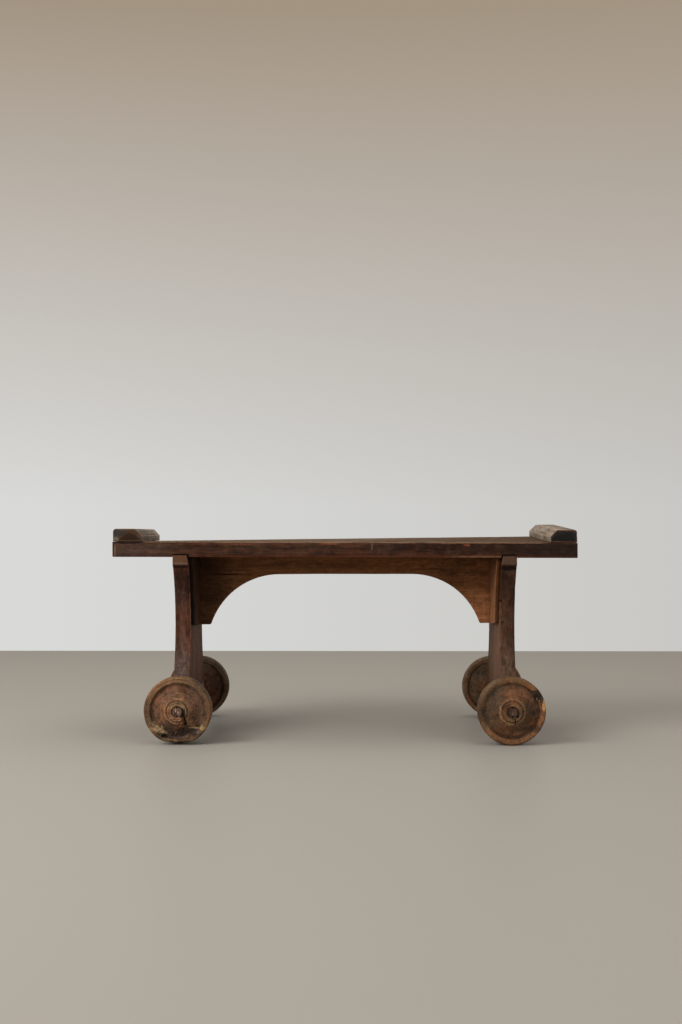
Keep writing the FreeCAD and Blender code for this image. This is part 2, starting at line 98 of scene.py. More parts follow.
def ease(wood, edges, width, segments, clamp=False):
    """Takes off edges: with one segment to a chamfer, with more to a round."""
    bmesh.ops.bevel(wood, geom=edges, offset=width, offset_type="OFFSET", segments=segments, profile=0.5,
                    affect="EDGES", material=-1, clamp_overlap=clamp)


def arris_map(edges):
    """Points about two millimetres apart along the arrises, to measure how near a place is to one."""
    points = []
    for edge in edges:
        start, finish = (vert.co for vert in edge.verts)
        steps = max(1, int((finish - start).length / (2 * MM)))
        points += [start.lerp(finish, step / steps) for step in range(steps + 1)]
    found = kdtree.KDTree(len(points))
    for index, point in enumerate(points):
        found.insert(point, index)
    found.balance()
    return found


def ragged(place, pitch, seed):
    """Smooth noise from about -1 to 1 whose lumps are about a pitch apart."""
    return noise.noise(place / pitch + Vector((seed * 7.3, seed * 3.1, seed * 5.7)))


def uneven_share(place, pitch, seed):
    """The same noise from about 0 to 1."""
    return 0.5 + 0.5 * ragged(place, pitch, seed)


def clipped(value):
    """A value kept between 0 and 1."""
    return max(0, min(1, value))


def age(wood, soften, rub_depth, seed, reach=6 * MM, chip_depth=1.5 * MM, hollow=0.3 * MM):
    """Softens the arrises, rubs and chips them unevenly, and leaves the faces slightly hollow."""
    bmesh.ops.recalc_face_normals(wood, faces=wood.faces)
    arrises = sharp_edges(wood)
    near_arris = arris_map(arrises)
    ease(wood, arrises, soften, segments=3, clamp=True)
    rub = wood.verts.layers.float.new("rub")
    wood.normal_update()
    for vert in wood.verts:
        near = max(0, 1 - near_arris.find(vert.co)[2] / reach)
        uneven = uneven_share(vert.co, 55 * MM, seed)
        chip = max(0, ragged(vert.co, 13 * MM, seed + 1) - 0.42) * near
        loss = rub_depth * near * near * uneven + chip_depth * chip * 3
        loss += hollow * uneven_share(vert.co, 70 * MM, seed + 2)
        vert[rub] = min(1, near * (0.45 + 0.75 * uneven) + chip)
        vert.co -= vert.normal * loss


def set_in_place(wood, name, node, finishes, edge_axis=None, body=STAND):
    """Makes the finished piece. With an edge axis, the faces towards it get the second finish."""
    if edge_axis is not None:
        for face in wood.faces:
            face.material_index = 1 if abs(face.normal.dot(edge_axis)) > 0.75 else 0
    mesh = bpy.data.meshes.new(name)
    wood.to_mesh(mesh)
    wood.free()
    for finish in finishes:
        mesh.materials.append(finish)
    mesh.shade_smooth()
    mesh.set_sharp_from_angle(angle=math.radians(40))
    piece = bpy.data.objects.new(name, mesh)
    bpy.context.collection.objects.link(piece)
    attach(piece, body)
    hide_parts(node)


# ---- nodes ----

FLOAT, VECTOR = "NodeSocketFloat", "NodeSocketVector"


def add(tree, kind, inputs=None, **settings):
    """Adds a node, sets it, and fills its sockets with values or joins them to other nodes' sockets."""
    node = tree.nodes.new(kind)
    for name, value in settings.items():
        setattr(node, name, value)
    for socket, value in (inputs or {}).items():
        if isinstance(value, bpy.types.NodeSocket):
            tree.links.new(value, node.inputs[socket])
        else:
            node.inputs[socket].default_value = value
    return node


def reckon(tree, operation, first, second=0.0, third=0.0, clamp=False):
    """One step of arithmetic. MULTIPLY_ADD is first * second + third."""
    node = add(tree, "ShaderNodeMath", {0: first, 1: second, 2: third},
               operation=operation, use_clamp=clamp)
    return node.outputs[0]


def times(tree, value, factor):
    """A value times a factor."""
    return reckon(tree, "MULTIPLY", value, factor)


def vector_of(tree, operation, first, second=(0, 0, 0)):
    """One step of vector arithmetic that gives a vector."""
    return add(tree, "ShaderNodeVectorMath", {0: first, 1: second}, operation=operation).outputs[0]


def length_of(tree, vector):
    """How long a vector is."""
    return add(tree, "ShaderNodeVectorMath", {0: vector}, operation="LENGTH").outputs["Value"]


def stretch(tree, vector, factors):
    """A vector times a factor along each axis."""
    return vector_of(tree, "MULTIPLY", vector, factors)


def spread(tree, value, low, high, to_low=0.0, to_high=1.0):
    """Stretches the range from low to high over 0 to 1, or over another range, with soft ends."""
    node = add(tree, "ShaderNodeMapRange", {
        "Value": value, "From Min": low, "From Max": high, "To Min": to_low, "To Max": to_high,
    }, interpolation_type="SMOOTHSTEP")
    return node.outputs["Result"]


def straight_spread(tree, value, low, high):
    """Lays the range from low to high over 0 to 1 in a straight line."""
    node = add(tree, "ShaderNodeMapRange", {"Value": value, "From Min": low, "From Max": high})
    return node.outputs["Result"]


def speckle(tree, vector, scale, detail=4.0, roughness=0.6, distortion=0.0):
    """Random lumps from 0 to 1. The larger the scale, the finer they are."""
    node = add(tree, "ShaderNodeTexNoise", {
        "Vector": vector, "Scale": scale, "Detail": detail, "Roughness": roughness,
        "Distortion": distortion,
    })
    return node.outputs["Fac"]


def stain(tree, under, over, amount, blend="MIX"):
    """Lays one colour over another where the mask is strong."""
    node = add(tree, "ShaderNodeMix", {0: amount, 6: under, 7: over},
               data_type="RGBA", blend_type=blend, clamp_factor=True)
    return node.outputs[2]


def deepen(tree, base, depth, amount):
    """Darkens a colour by a factor where the mask is strong."""
    darker = stain(tree, base, (depth, depth * 0.95, depth * 0.92, 1), 1.0, blend="MULTIPLY")
    return stain(tree, base, darker, amount)


def colour(red, green, blue):
    """The colour of three display values, as the shader takes it."""
    def linear(part):
        part /= 255
        return part / 12.92 if part <= 0.04045 else ((part + 0.055) / 1.055) ** 2.4
    return (linear(red), linear(green), linear(blue), 1.0)


# ---- effects that several finishes share ----

def new_group(name, inputs, outputs):
    """An empty node group with these named inputs (name, kind, value) and these outputs, all numbers."""
    group = bpy.data.node_groups.new(name, "ShaderNodeTree")
    for socket, kind, value in inputs:
        made = group.interface.new_socket(socket, in_out="INPUT", socket_type=kind)
        if value is not None:
            made.default_value = value
    for socket in outputs:
        group.interface.new_socket(socket, in_out="OUTPUT", socket_type=FLOAT)
    entry = group.nodes.new("NodeGroupInput")
    leave = group.nodes.new("NodeGroupOutput")
    return group, entry.outputs, leave.inputs


def make_grain_group():
    """Long grain along X of the vector it is given: fine streaks, broad growth bands and open pores."""
    group, entry, leave = new_group("long_grain", [("Vector", VECTOR, None)],
                                    ["Streaks", "Bands", "Pores", "Height"])
    sway = times(group, speckle(group, entry["Vector"], 9.0, detail=2.0), 0.016)
    swayed = add(group, "ShaderNodeCombineXYZ", {"Y": sway, "Z": sway}).outputs[0]
    bent = vector_of(group, "ADD", entry["Vector"], swayed)
    streaks = speckle(group, stretch(group, bent, (9, 330, 330)), 1.0, detail=5.0, roughness=0.65)
    bands = speckle(group, stretch(group, bent, (2.2, 62, 62)), 1.0, detail=3.0, roughness=0.5,
                    distortion=0.6)
    fibres = speckle(group, stretch(group, bent, (45, 1300, 1300)), 1.0, detail=2.0)
    pores = spread(group, fibres, 0.36, 0.28)
    group.links.new(spread(group, streaks, 0.3, 0.7), leave["Streaks"])
    group.links.new(spread(group, bands, 0.35, 0.65), leave["Bands"])
    group.links.new(pores, leave["Pores"])
    group.links.new(reckon(group, "MULTIPLY_ADD", pores, -0.7, streaks), leave["Height"])
    return group


def make_weather_group():
    """Years in use: broad patches, middling blotches, a fine mottle and small specks of dirt."""
    group, entry, leave = new_group("weathering", [("Vector", VECTOR, None)],
                                    ["Patches", "Blotches", "Mottle", "Specks"])
    patches = speckle(group, entry["Vector"], 11.0, detail=5.0, roughness=0.62, distortion=0.4)
    blotches = speckle(group, entry["Vector"], 46.0, detail=5.0, roughness=0.6)
    mottle = speckle(group, stretch(group, entry["Vector"], (60, 140, 140)), 1.0, detail=5.0, roughness=0.7)
    specks = speckle(group, entry["Vector"], 260.0, detail=3.0)
    group.links.new(spread(group, patches, 0.4, 0.62), leave["Patches"])
    group.links.new(spread(group, blotches, 0.38, 0.66), leave["Blotches"])
    group.links.new(spread(group, mottle, 0.36, 0.64), leave["Mottle"])
    group.links.new(spread(group, specks, 0.6, 0.72), leave["Specks"])
    return group


def make_rub_group():
    """Where hands and years have rubbed the arrises, from the piece's own rub attribute, broken up."""
    group, entry, leave = new_group(
        "rubbed_arris", [("Vector", VECTOR, None), ("Start", FLOAT, 0.45), ("Full", FLOAT, 0.9)], ["Mask"])
    rub = add(group, "ShaderNodeAttribute", attribute_name="rub", attribute_type="GEOMETRY").outputs["Fac"]
    broken = speckle(group, entry["Vector"], 120.0, detail=5.0, roughness=0.7)
    mixed = reckon(group, "ADD", rub, reckon(group, "MULTIPLY_ADD", broken, 0.9, -0.45))
    group.links.new(spread(group, mixed, entry["Start"], entry["Full"]), leave["Mask"])
    return group


def make_mark_group():
    """One mark at a place: a ragged oval of this size, with a crisp or a soft edge."""
    group, entry, leave = new_group(
        "mark", [("Vector", VECTOR, None), ("Place", VECTOR, None), ("Size", VECTOR, None),
                 ("Ragged", FLOAT, 0.5), ("Soft", FLOAT, 0.2), ("Lumps", FLOAT, 140.0)], ["Mask"])
    away = vector_of(group, "SUBTRACT", entry["Vector"], entry["Place"])
    distance = length_of(group, vector_of(group, "DIVIDE", away, entry["Size"]))
    lumps = speckle(group, entry["Vector"], entry["Lumps"], detail=5.0, roughness=0.65)
    lumps = times(group, reckon(group, "SUBTRACT", lumps, 0.5), entry["Ragged"])
    edge = reckon(group, "MULTIPLY_ADD", lumps, 4.0, distance)
    outside = reckon(group, "ADD", 1.0, entry["Soft"])
    inside = reckon(group, "SUBTRACT", 1.0, entry["Soft"])
    group.links.new(spread(group, edge, outside, inside), leave["Mask"])
    return group


def make_turning_group():
    """A turned face seen along the wheel's axis: radius from it, growth rings and fine radial checks."""
    group, entry, leave = new_group("turned_face", [("Vector", VECTOR, None), ("Wobble", FLOAT, 0.006)],
                                    ["Radius", "Rings", "Fine", "Checks", "Height"])
    flat = stretch(group, entry["Vector"], (1, 0, 1))
    radius = length_of(group, flat)
    unit = vector_of(group, "NORMALIZE", flat)
    wobble = reckon(group, "SUBTRACT", speckle(group, unit, 1.3, detail=3.0), 0.5)
    bent = reckon(group, "ADD", radius, times(group, wobble, entry["Wobble"]))
    outward = add(group, "ShaderNodeCombineXYZ", {"Y": times(group, bent, 260.0)}).outputs[0]
    along = vector_of(group, "ADD", stretch(group, unit, (0.55, 0, 0.55)), outward)
    rings = speckle(group, along, 1.0, detail=3.0, roughness=0.6)
    fine = speckle(group, along, 4.2, detail=3.0, roughness=0.65)
    slow = add(group, "ShaderNodeCombineXYZ", {"Y": times(group, radius, 22.0)}).outputs[0]
    rays = speckle(group, vector_of(group, "ADD", stretch(group, unit, (17, 0, 17)), slow), 1.0)
    group.links.new(radius, leave["Radius"])
    group.links.new(spread(group, rings, 0.33, 0.67), leave["Rings"])
    group.links.new(spread(group, fine, 0.35, 0.65), leave["Fine"])
    group.links.new(spread(group, rays, 0.36, 0.28), leave["Checks"])
    group.links.new(reckon(group, "MULTIPLY_ADD", fine, 0.5, rings), leave["Height"])
    return group


GRAIN = make_grain_group()
WEATHER = make_weather_group()
RUB = make_rub_group()
MARK = make_mark_group()
TURNING = make_turning_group()


def placed(tree, group, inputs):
    """The outputs of one of the groups, placed in a material with its own values."""
    return add(tree, "ShaderNodeGroup", inputs, node_tree=group).outputs


def own_place(tree, shift=(0, 0, 0), turn=(0, 0, 0)):
    """The place on the piece itself, shifted and turned so that the grain lies along X."""
    place = add(tree, "ShaderNodeTexCoord").outputs["Object"]
    mapping = {"Vector": place, "Location": shift, "Rotation": turn}
    return add(tree, "ShaderNodeMapping", mapping, vector_type="POINT").outputs[0]


def lay_marks(tree, base, place, marks):
    """Lays marks (place, size, colour, strength, raggedness and, for some, softness) over a colour."""
    for spot, size, tint, strength, rag, *soft in marks:
        mask = placed(tree, MARK, {"Vector": place, "Place": spot, "Size": size, "Ragged": rag,
                                   "Soft": soft[0] if soft else 0.2})["Mask"]
        base = stain(tree, base, colour(*tint), times(tree, mask, strength))
    return base


def new_finish(name, gloss=0.08):
    """A new material. Dry, open-pored wood reflects less than a polished face, so its gloss is low."""
    finish = bpy.data.materials.new(name)
    finish.use_nodes = True
    tree = finish.node_tree
    shader = tree.nodes["Principled BSDF"]
    shader.inputs["Specular IOR Level"].default_value = gloss
    return finish, tree, shader


def join_bump(tree, shader, height, strength, distance):
    """Makes the surface rise and fall with a height."""
    bump = add(tree, "ShaderNodeBump", {"Height": height, "Strength": strength, "Distance": distance})
    tree.links.new(bump.outputs["Normal"], shader.inputs["Normal"])


# ---- sawn wood ----

TURN_TO_X = {"x": (0, 0, 0), "y": (0, 0, math.radians(90)), "z": (0, math.radians(90), 0)}


def old_wood(name, grain, dark, light, film, rubbed, seed, film_amount=0.45, rub_amount=0.85,
             rub_from=0.45, dry=0.72, contrast=1.0, marks=()):
    """Old stained wood: grain between two colours, a dull film in patches, arrises rubbed to a third.

    Soft marks lie in the wood, under its streaks and pores; crisp ones lie over them. Some marks are
    stains, others painted light and painted shade.
    """
    finish, tree, shader = new_finish(name)
    here = own_place(tree)
    along = own_place(tree, shift=(seed * 1.7, seed * 0.63, seed * 0.29), turn=TURN_TO_X[grain])
    figure = placed(tree, GRAIN, {"Vector": along})
    weather = placed(tree, WEATHER, {"Vector": along})
    base = stain(tree, colour(*dark), colour(*light), figure["Bands"])
    base = stain(tree, base, colour(*film), times(tree, weather["Patches"], film_amount))
    base = stain(tree, base, colour(*rubbed), times(tree, weather["Blotches"], 0.2))
    base = lay_marks(tree, base, here, [mark for mark in marks if len(mark) > 5])
    flecks = spread(tree, speckle(tree, along, 190.0, detail=3.0), 0.5, 0.64)
    base = stain(tree, base, (1.4, 1.0, 0.88, 1), times(tree, flecks, 0.7 * contrast), blend="MULTIPLY")
    base = deepen(tree, base, 0.45, times(tree, figure["Streaks"], 0.7 * contrast))
    base = deepen(tree, base, 0.5, times(tree, weather["Mottle"], 0.65 * contrast))
    edge = placed(tree, RUB, {"Vector": along, "Start": rub_from, "Full": rub_from + 0.4})["Mask"]
    base = stain(tree, base, colour(*rubbed), times(tree, edge, rub_amount))
    base = deepen(tree, base, 0.3, times(tree, figure["Pores"], 0.6))
    base = deepen(tree, base, 0.3, times(tree, weather["Specks"], 0.5))
    base = lay_marks(tree, base, here, [mark for mark in marks if len(mark) == 5])
    tree.links.new(base, shader.inputs["Base Color"])
    rough = reckon(tree, "MULTIPLY_ADD", figure["Streaks"], 0.14, dry - 0.07)
    rough = reckon(tree, "MULTIPLY_ADD", edge, -0.10, rough, clamp=True)
    tree.links.new(rough, shader.inputs["Roughness"])
    height = reckon(tree, "MULTIPLY_ADD", weather["Specks"], -0.5, figure["Height"])
    join_bump(tree, shader, height, 0.45, 0.6 * MM)
    return finish


def end_grain(name, dark, light, rubbed, pith, seed, rub_from=0.5, marks=()):
    """Wood sawn across: growth rings round a pith, dark with soaked-in dirt, rubbed at its arrises."""
    finish, tree, shader = new_finish(name)
    here = own_place(tree)
    distance = length_of(tree, vector_of(tree, "SUBTRACT", here, pith))
    bend = speckle(tree, here, 22.0, detail=2.0)
    distance = reckon(tree, "MULTIPLY_ADD", bend, 0.012, distance)
    ring_place = add(tree, "ShaderNodeCombineXYZ", {"X": distance, "Y": 0.3 * seed}).outputs[0]
    rings = speckle(tree, ring_place, 420.0, detail=3.0, roughness=0.55)
    weather = placed(tree, WEATHER, {"Vector": here})
    base = stain(tree, colour(*dark), colour(*light), spread(tree, rings, 0.38, 0.66))
    base = stain(tree, base, colour(*dark), times(tree, weather["Blotches"], 0.6))
    base = lay_marks(tree, base, here, marks)
    edge = placed(tree, RUB, {"Vector": here, "Start": rub_from, "Full": rub_from + 0.35})["Mask"]
    base = stain(tree, base, colour(*rubbed), times(tree, edge, 0.9))
    tree.links.new(base, shader.inputs["Base Color"])
    tree.links.new(spread(tree, rings, 0.3, 0.7, 0.62, 0.8), shader.inputs["Roughness"])
    join_bump(tree, shader, rings, 0.5, 0.5 * MM)
    return finish


# Painted shadow: dark lines along the plank's top edge, where each cleat sits on it.
SEAM_SHADOW_LINES = [
    ((-0.4200, -0.15, 0.3845), (0.0320, 0.005, 0.0030), (20, 13, 10), 0.9, 0.2),
    ((0.4150, -0.15, 0.3835), (0.0300, 0.005, 0.0016), (44, 30, 23), 0.7, 0.6),
]
PLANK = old_wood(
    "plank_wood", "x", dark=(43, 25, 18), light=(83, 52, 36), film=(61, 48, 40),
    rubbed=(120, 83, 57), seed=1, film_amount=0.5, marks=[
        ((0, -0.15, 0.3560), (0.46, 0.006, 0.0035), (92, 42, 24), 0.42, 0.8),
        ((0.26, -0.15, 0.3565), (0.05, 0.006, 0.0012), (132, 98, 74), 0.6, 0.5),
        ((0.0525, -0.15, 0.3755), (0.0018, 0.006, 0.006), (118, 92, 72), 0.4, 0.5),
        ((0.236, -0.15, 0.379), (0.006, 0.006, 0.0020), (128, 68, 42), 0.6, 0.8),
        ((-0.03, -0.15, 0.3815), (0.016, 0.006, 0.0018), (128, 72, 46), 0.6, 0.9),
        ((-0.20, -0.15, 0.3805), (0.020, 0.006, 0.0018), (116, 62, 44), 0.5, 0.9),
        ((-0.4487, -0.15, 0.369), (0.0022, 0.010, 0.020), (52, 24, 16), 0.6, 0.3),
        ((-0.4446, -0.15, 0.369), (0.0014, 0.006, 0.012), (124, 98, 82), 0.6, 0.4),
        ((-0.40, -0.15, 0.369), (0.070, 0.02, 0.016), (82, 66, 57), 0.65, 0.4, 0.6),
        # Darker towards the right end: partly the wood's own tone, partly painted shade, as the light falls
        # off away from the left.
        ((0.41, -0.15, 0.368), (0.10, 0.02, 0.030), (42, 32, 26), 0.8, 0.4, 0.6),
        # Painted shadow: dark lines on the plank's front just above each leg's lip.
        ((-0.3175, -0.15, 0.3606), (0.0180, 0.006, 0.0016), (14, 9, 7), 0.9, 0.1),
        ((0.3175, -0.15, 0.3605), (0.0170, 0.006, 0.0020), (18, 11, 8), 0.8, 0.2),
    ] + SEAM_SHADOW_LINES)
PLANK_TOP = old_wood(
    "plank_top", "x", dark=(78, 61, 47), light=(131, 108, 84), film=(139, 124, 104),
    rubbed=(162, 133, 102), seed=2, film_amount=0.5, rub_amount=0.6, dry=0.8, contrast=1.5, marks=[
        ((0.38, 0, 0.385), (0.20, 0.30, 0.02), (98, 76, 56), 0.8, 0.5, 0.8),
    ] + SEAM_SHADOW_LINES)
PLANK_END = end_grain(
    "plank_end", dark=(46, 34, 27), light=(92, 68, 52), rubbed=(126, 88, 60),
    pith=(0, 0.05, 0.31), seed=3)
CLEAT = old_wood(
    "cleat_wood", "y", dark=(104, 90, 76), light=(158, 143, 125), film=(166, 160, 147),
    rubbed=(158, 134, 110), seed=4, film_amount=0.6, rub_amount=0.55, dry=0.7, marks=[
        # Painted shade on the left cleat's bevel and inner side, which face away from the light.
        ((-0.395, -0.10, 0.398), (0.022, 0.12, 0.022), (100, 88, 76), 0.7, 0.4, 0.6),
    ])
CLEAT_END_LEFT = end_grain(
    "cleat_end_left", dark=(36, 30, 26), light=(96, 86, 74), rubbed=(88, 62, 44),
    pith=(-0.4187, 0, 0.3829), seed=5, rub_from=0.35, marks=[
        ((-0.4160, -0.15, 0.3829), (0.024, 0.08, 0.028), (66, 44, 27), 0.9, 0.2),
        ((-0.4170, -0.15, 0.3829), (0.020, 0.08, 0.019), (44, 30, 20), 0.95, 0.2),
        ((-0.4400, -0.15, 0.402), (0.016, 0.08, 0.006), (48, 46, 44), 0.8, 0.5),
        ((-0.4420, -0.15, 0.389), (0.005, 0.08, 0.006), (124, 116, 100), 0.5, 0.9),
    ])
CLEAT_END_RIGHT = end_grain(
    "cleat_end_right", dark=(24, 23, 21), light=(56, 50, 45), rubbed=(88, 55, 41),
    pith=(0.42, 0, 0.38), seed=6, rub_from=0.25)
LEG_LEFT = old_wood(
    "left_leg_wood", "z", dark=(44, 25, 18), light=(104, 68, 52), film=(92, 74, 64),
    rubbed=(122, 76, 56), seed=7, film_amount=0.45, contrast=1.15, marks=[
        ((-0.3200, -0.148, 0.3500), (0.022, 0.010, 0.0090), (92, 62, 43), 0.8, 0.4),
        # Painted highlight on the lip's rounded lower edge.
        ((-0.3170, -0.148, 0.3435), (0.017, 0.010, 0.0022), (104, 84, 70), 0.6, 0.4),
        # Painted shade under the lip.
        ((-0.3175, -0.146, 0.3370), (0.020, 0.010, 0.0030), (40, 20, 14), 0.6, 0.3),
        ((-0.3200, -0.146, 0.3280), (0.012, 0.008, 0.0014), (112, 88, 70), 0.5, 0.5),
        # Painted shade under the plank, on the top of the scoop.
        ((-0.3175, -0.130, 0.3080), (0.020, 0.030, 0.0200), (38, 21, 15), 0.55, 0.5),
        # Painted highlight on the arris between the front and inner faces.
        ((-0.3010, -0.108, 0.2455), (0.003, 0.008, 0.010), (132, 108, 82), 0.8, 0.5),
        ((-0.3080, -0.116, 0.2900), (0.006, 0.010, 0.008), (34, 22, 18), 0.7, 0.4),
        ((-0.3175, -0.14, 0.1500), (0.016, 0.03, 0.060), (112, 100, 92), 0.62, 0.4, 0.7),
        # Painted light on the leg's inner face.
        ((-0.3010, 0.0, 0.1700), (0.005, 0.2, 0.0900), (136, 102, 80), 0.55, 0.4, 0.7),
    ])
LEG_RIGHT = old_wood(
    "right_leg_wood", "z", dark=(48, 29, 20), light=(96, 66, 48), film=(90, 72, 58),
    rubbed=(104, 70, 50), seed=8, film_amount=0.4, rub_amount=0.4, contrast=1.15, marks=[
        ((0.3175, -0.148, 0.3490), (0.022, 0.010, 0.0080), (82, 62, 46), 0.8, 0.4),
        # Painted shade under the lip.
        ((0.3165, -0.145, 0.3340), (0.018, 0.02, 0.0050), (32, 22, 17), 0.8, 0.6),
        ((0.3185, -0.145, 0.3265), (0.009, 0.02, 0.0018), (84, 72, 54), 0.6, 0.5),
        # Painted shade under the plank, on the top of the scoop.
        ((0.3175, -0.120, 0.2950), (0.020, 0.03, 0.0300), (40, 25, 17), 0.4, 0.6),
        # Painted light on the leg's inner face.
        ((0.3010, 0.0, 0.1700), (0.005, 0.2, 0.0900), (148, 112, 86), 0.65, 0.4, 0.7),
        ((0.3175, -0.14, 0.1500), (0.016, 0.03, 0.0550), (112, 94, 76), 0.55, 0.4, 0.7),
        ((0.3175, -0.110, 0.2350), (0.020, 0.03, 0.0350), (116, 80, 58), 0.2, 0.4, 0.7),
        ((0.3045, -0.112, 0.2690), (0.003, 0.02, 0.003), (26, 17, 13), 0.9, 0.2),
        ((0.3098, -0.106, 0.2268), (0.004, 0.02, 0.003), (34, 22, 17), 0.7, 0.3),
    ])
# Both left backing finishes are darker than the right's: dirt, and painted shade in the recess at the
# apron's left end.
BACKING_LEFT_DIRTY_AND_SHADED = old_wood(
    "left_backing_dirt_and_painted_shade", "z", dark=(46, 30, 18), light=(84, 57, 36), film=(64, 46, 32),
    rubbed=(84, 57, 37), seed=9, film_amount=0.3, rub_amount=0.3, rub_from=0.6, dry=0.8)
BACKING_LEFT_EDGE_DIRTY_AND_SHADED = old_wood(
    "left_backing_edge_dirt_and_painted_shade", "z", dark=(25, 17, 10), light=(42, 29, 18), film=(33, 24, 17),
    rubbed=(32, 22, 14), seed=39, film_amount=0.3, rub_from=0.6, dry=0.8)
# Both right backing finishes are lit copies, lighter than the left's: painted light, as the light comes
# from the left.
BACKING_RIGHT_PAINTED_LIGHT = old_wood(
    "right_backing_painted_light", "z", dark=(140, 98, 68), light=(208, 152, 112), film=(198, 156, 122),
    rubbed=(160, 108, 70), seed=19, film_amount=0.35, rub_amount=0.3, rub_from=0.6, dry=0.75, marks=[
        ((0.297, -0.112, 0.28), (0.02, 0.036, 0.150), (156, 106, 66), 0.9, 0.2, 0.5),
        # Painted shade along the top, under the plank.
        ((0.297, 0.0, 0.366), (0.02, 0.200, 0.032), (104, 66, 40), 0.8, 0.3, 0.7),
    ])
BACKING_RIGHT_EDGE_PAINTED_LIGHT = old_wood(
    "right_backing_edge_painted_light", "z", dark=(70, 41, 22), light=(110, 68, 38), film=(100, 68, 45),
    rubbed=(112, 68, 38), seed=29, film_amount=0.3, rub_amount=0.4, rub_from=0.6, dry=0.8, marks=[
        # Painted shade along the top, under the plank.
        ((0.297, 0.0, 0.366), (0.02, 0.200, 0.040), (60, 38, 22), 0.85, 0.3, 0.7),
    ])
APRON = old_wood(
    "apron_wood", "x", dark=(105, 67, 38), light=(147, 98, 59), film=(130, 94, 64),
    rubbed=(158, 105, 66), seed=10, film_amount=0.35, rub_amount=0.7, rub_from=0.5, dry=0.6, marks=[
        # Darker at the left end: dirt, and painted shade from the left leg and backing.
        ((-0.285, -0.01, 0.30), (0.046, 0.02, 0.100), (58, 37, 23), 0.8, 0.3, 0.6),
        # Painted light on the right foot, where the light from the left reaches under the plank.
        ((0.272, -0.01, 0.235), (0.045, 0.02, 0.080), (226, 158, 108), 0.68, 0.3, 0.8),
        ((0.281, -0.01, 0.250), (0.0014, 0.004, 0.022), (196, 152, 112), 0.35, 0.6),
        ((0.262, -0.01, 0.262), (0.0014, 0.004, 0.018), (96, 56, 32), 0.35, 0.6),
        # Painted shade under the plank's overhang.
        ((0.250, -0.01, 0.3250), (0.060, 0.02, 0.034), (78, 49, 28), 0.3, 0.3, 0.8),
        ((-0.240, -0.01, 0.3160), (0.027, 0.004, 0.0012), (22, 13, 8), 0.95, 0.1),
        ((0.1569, -0.01, 0.3330), (0.003, 0.004, 0.003), (44, 28, 16), 0.5, 0.2),
        ((0.2635, -0.01, 0.3375), (0.003, 0.004, 0.003), (44, 28, 16), 0.5, 0.2),
    ])


# ---- turned wheels, in millimetres from the middle of the rim ----

# How far out from the middle of the rim each part of the profile lies.
HUB_FACE = 29
RING_FACE = 25.8
RING_FOOT = 25
WEB_TOP = 24
MOUTH_FOOT = 19
RIM_FACE = 18
HUB_BACK = -39.5

# Radii of the profile.
WHEEL_RADIUS = 65
TREAD_TAPER = 1
BACK_RIM = 54
HUB_RADIUS = 26
BOSS = 18.5
MOUTH = 10.8
BORE = 8.1

# Radii between which each kind of wear and easing is done.
RINGS_WITHIN = 61
STEP_WITHIN = 60
TREAD_FROM = 57
FLAT_FROM = 50
HUB_WITHIN = 40
RINGS_FROM = 12
BREAKS_FROM = 10

# How far out each kind of wear, and the fine division of the face, begins.
FRAY_OUT = 11
FINE_OUT = 10
RINGS_OUT = 9
BREAKS_OUT = 8
FLAT_OUT = -6

TURNING_STEPS = 288
FLAT_SOFTNESS = 2.5
RIM_RUBBED = (122, 88, 60)


def wheel_place(corner):
    """The middle of a wheel's rim, and which way along Y its outer face looks."""
    low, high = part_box(f"wheel_{corner}")
    outward = 1 if low.y > 0 else -1
    hub_face = high.y if outward > 0 else low.y
    return Vector(((low.x + high.x) / 2, hub_face - outward * HUB_FACE * MM, WHEEL_RADIUS * MM)), outward


def plain_tones(rim, groove, web, inner_web, ring, boss, mouth):
    """A wheel's colours by radius, before marks, dirt and wear."""
    return [(0, mouth), (10, mouth), (12, boss), (17.5, boss), (19.5, inner_web), (22, ring), (25, ring),
            (27, inner_web), (36, web), (46, web), (52, groove), (55, rim), (65, rim)]


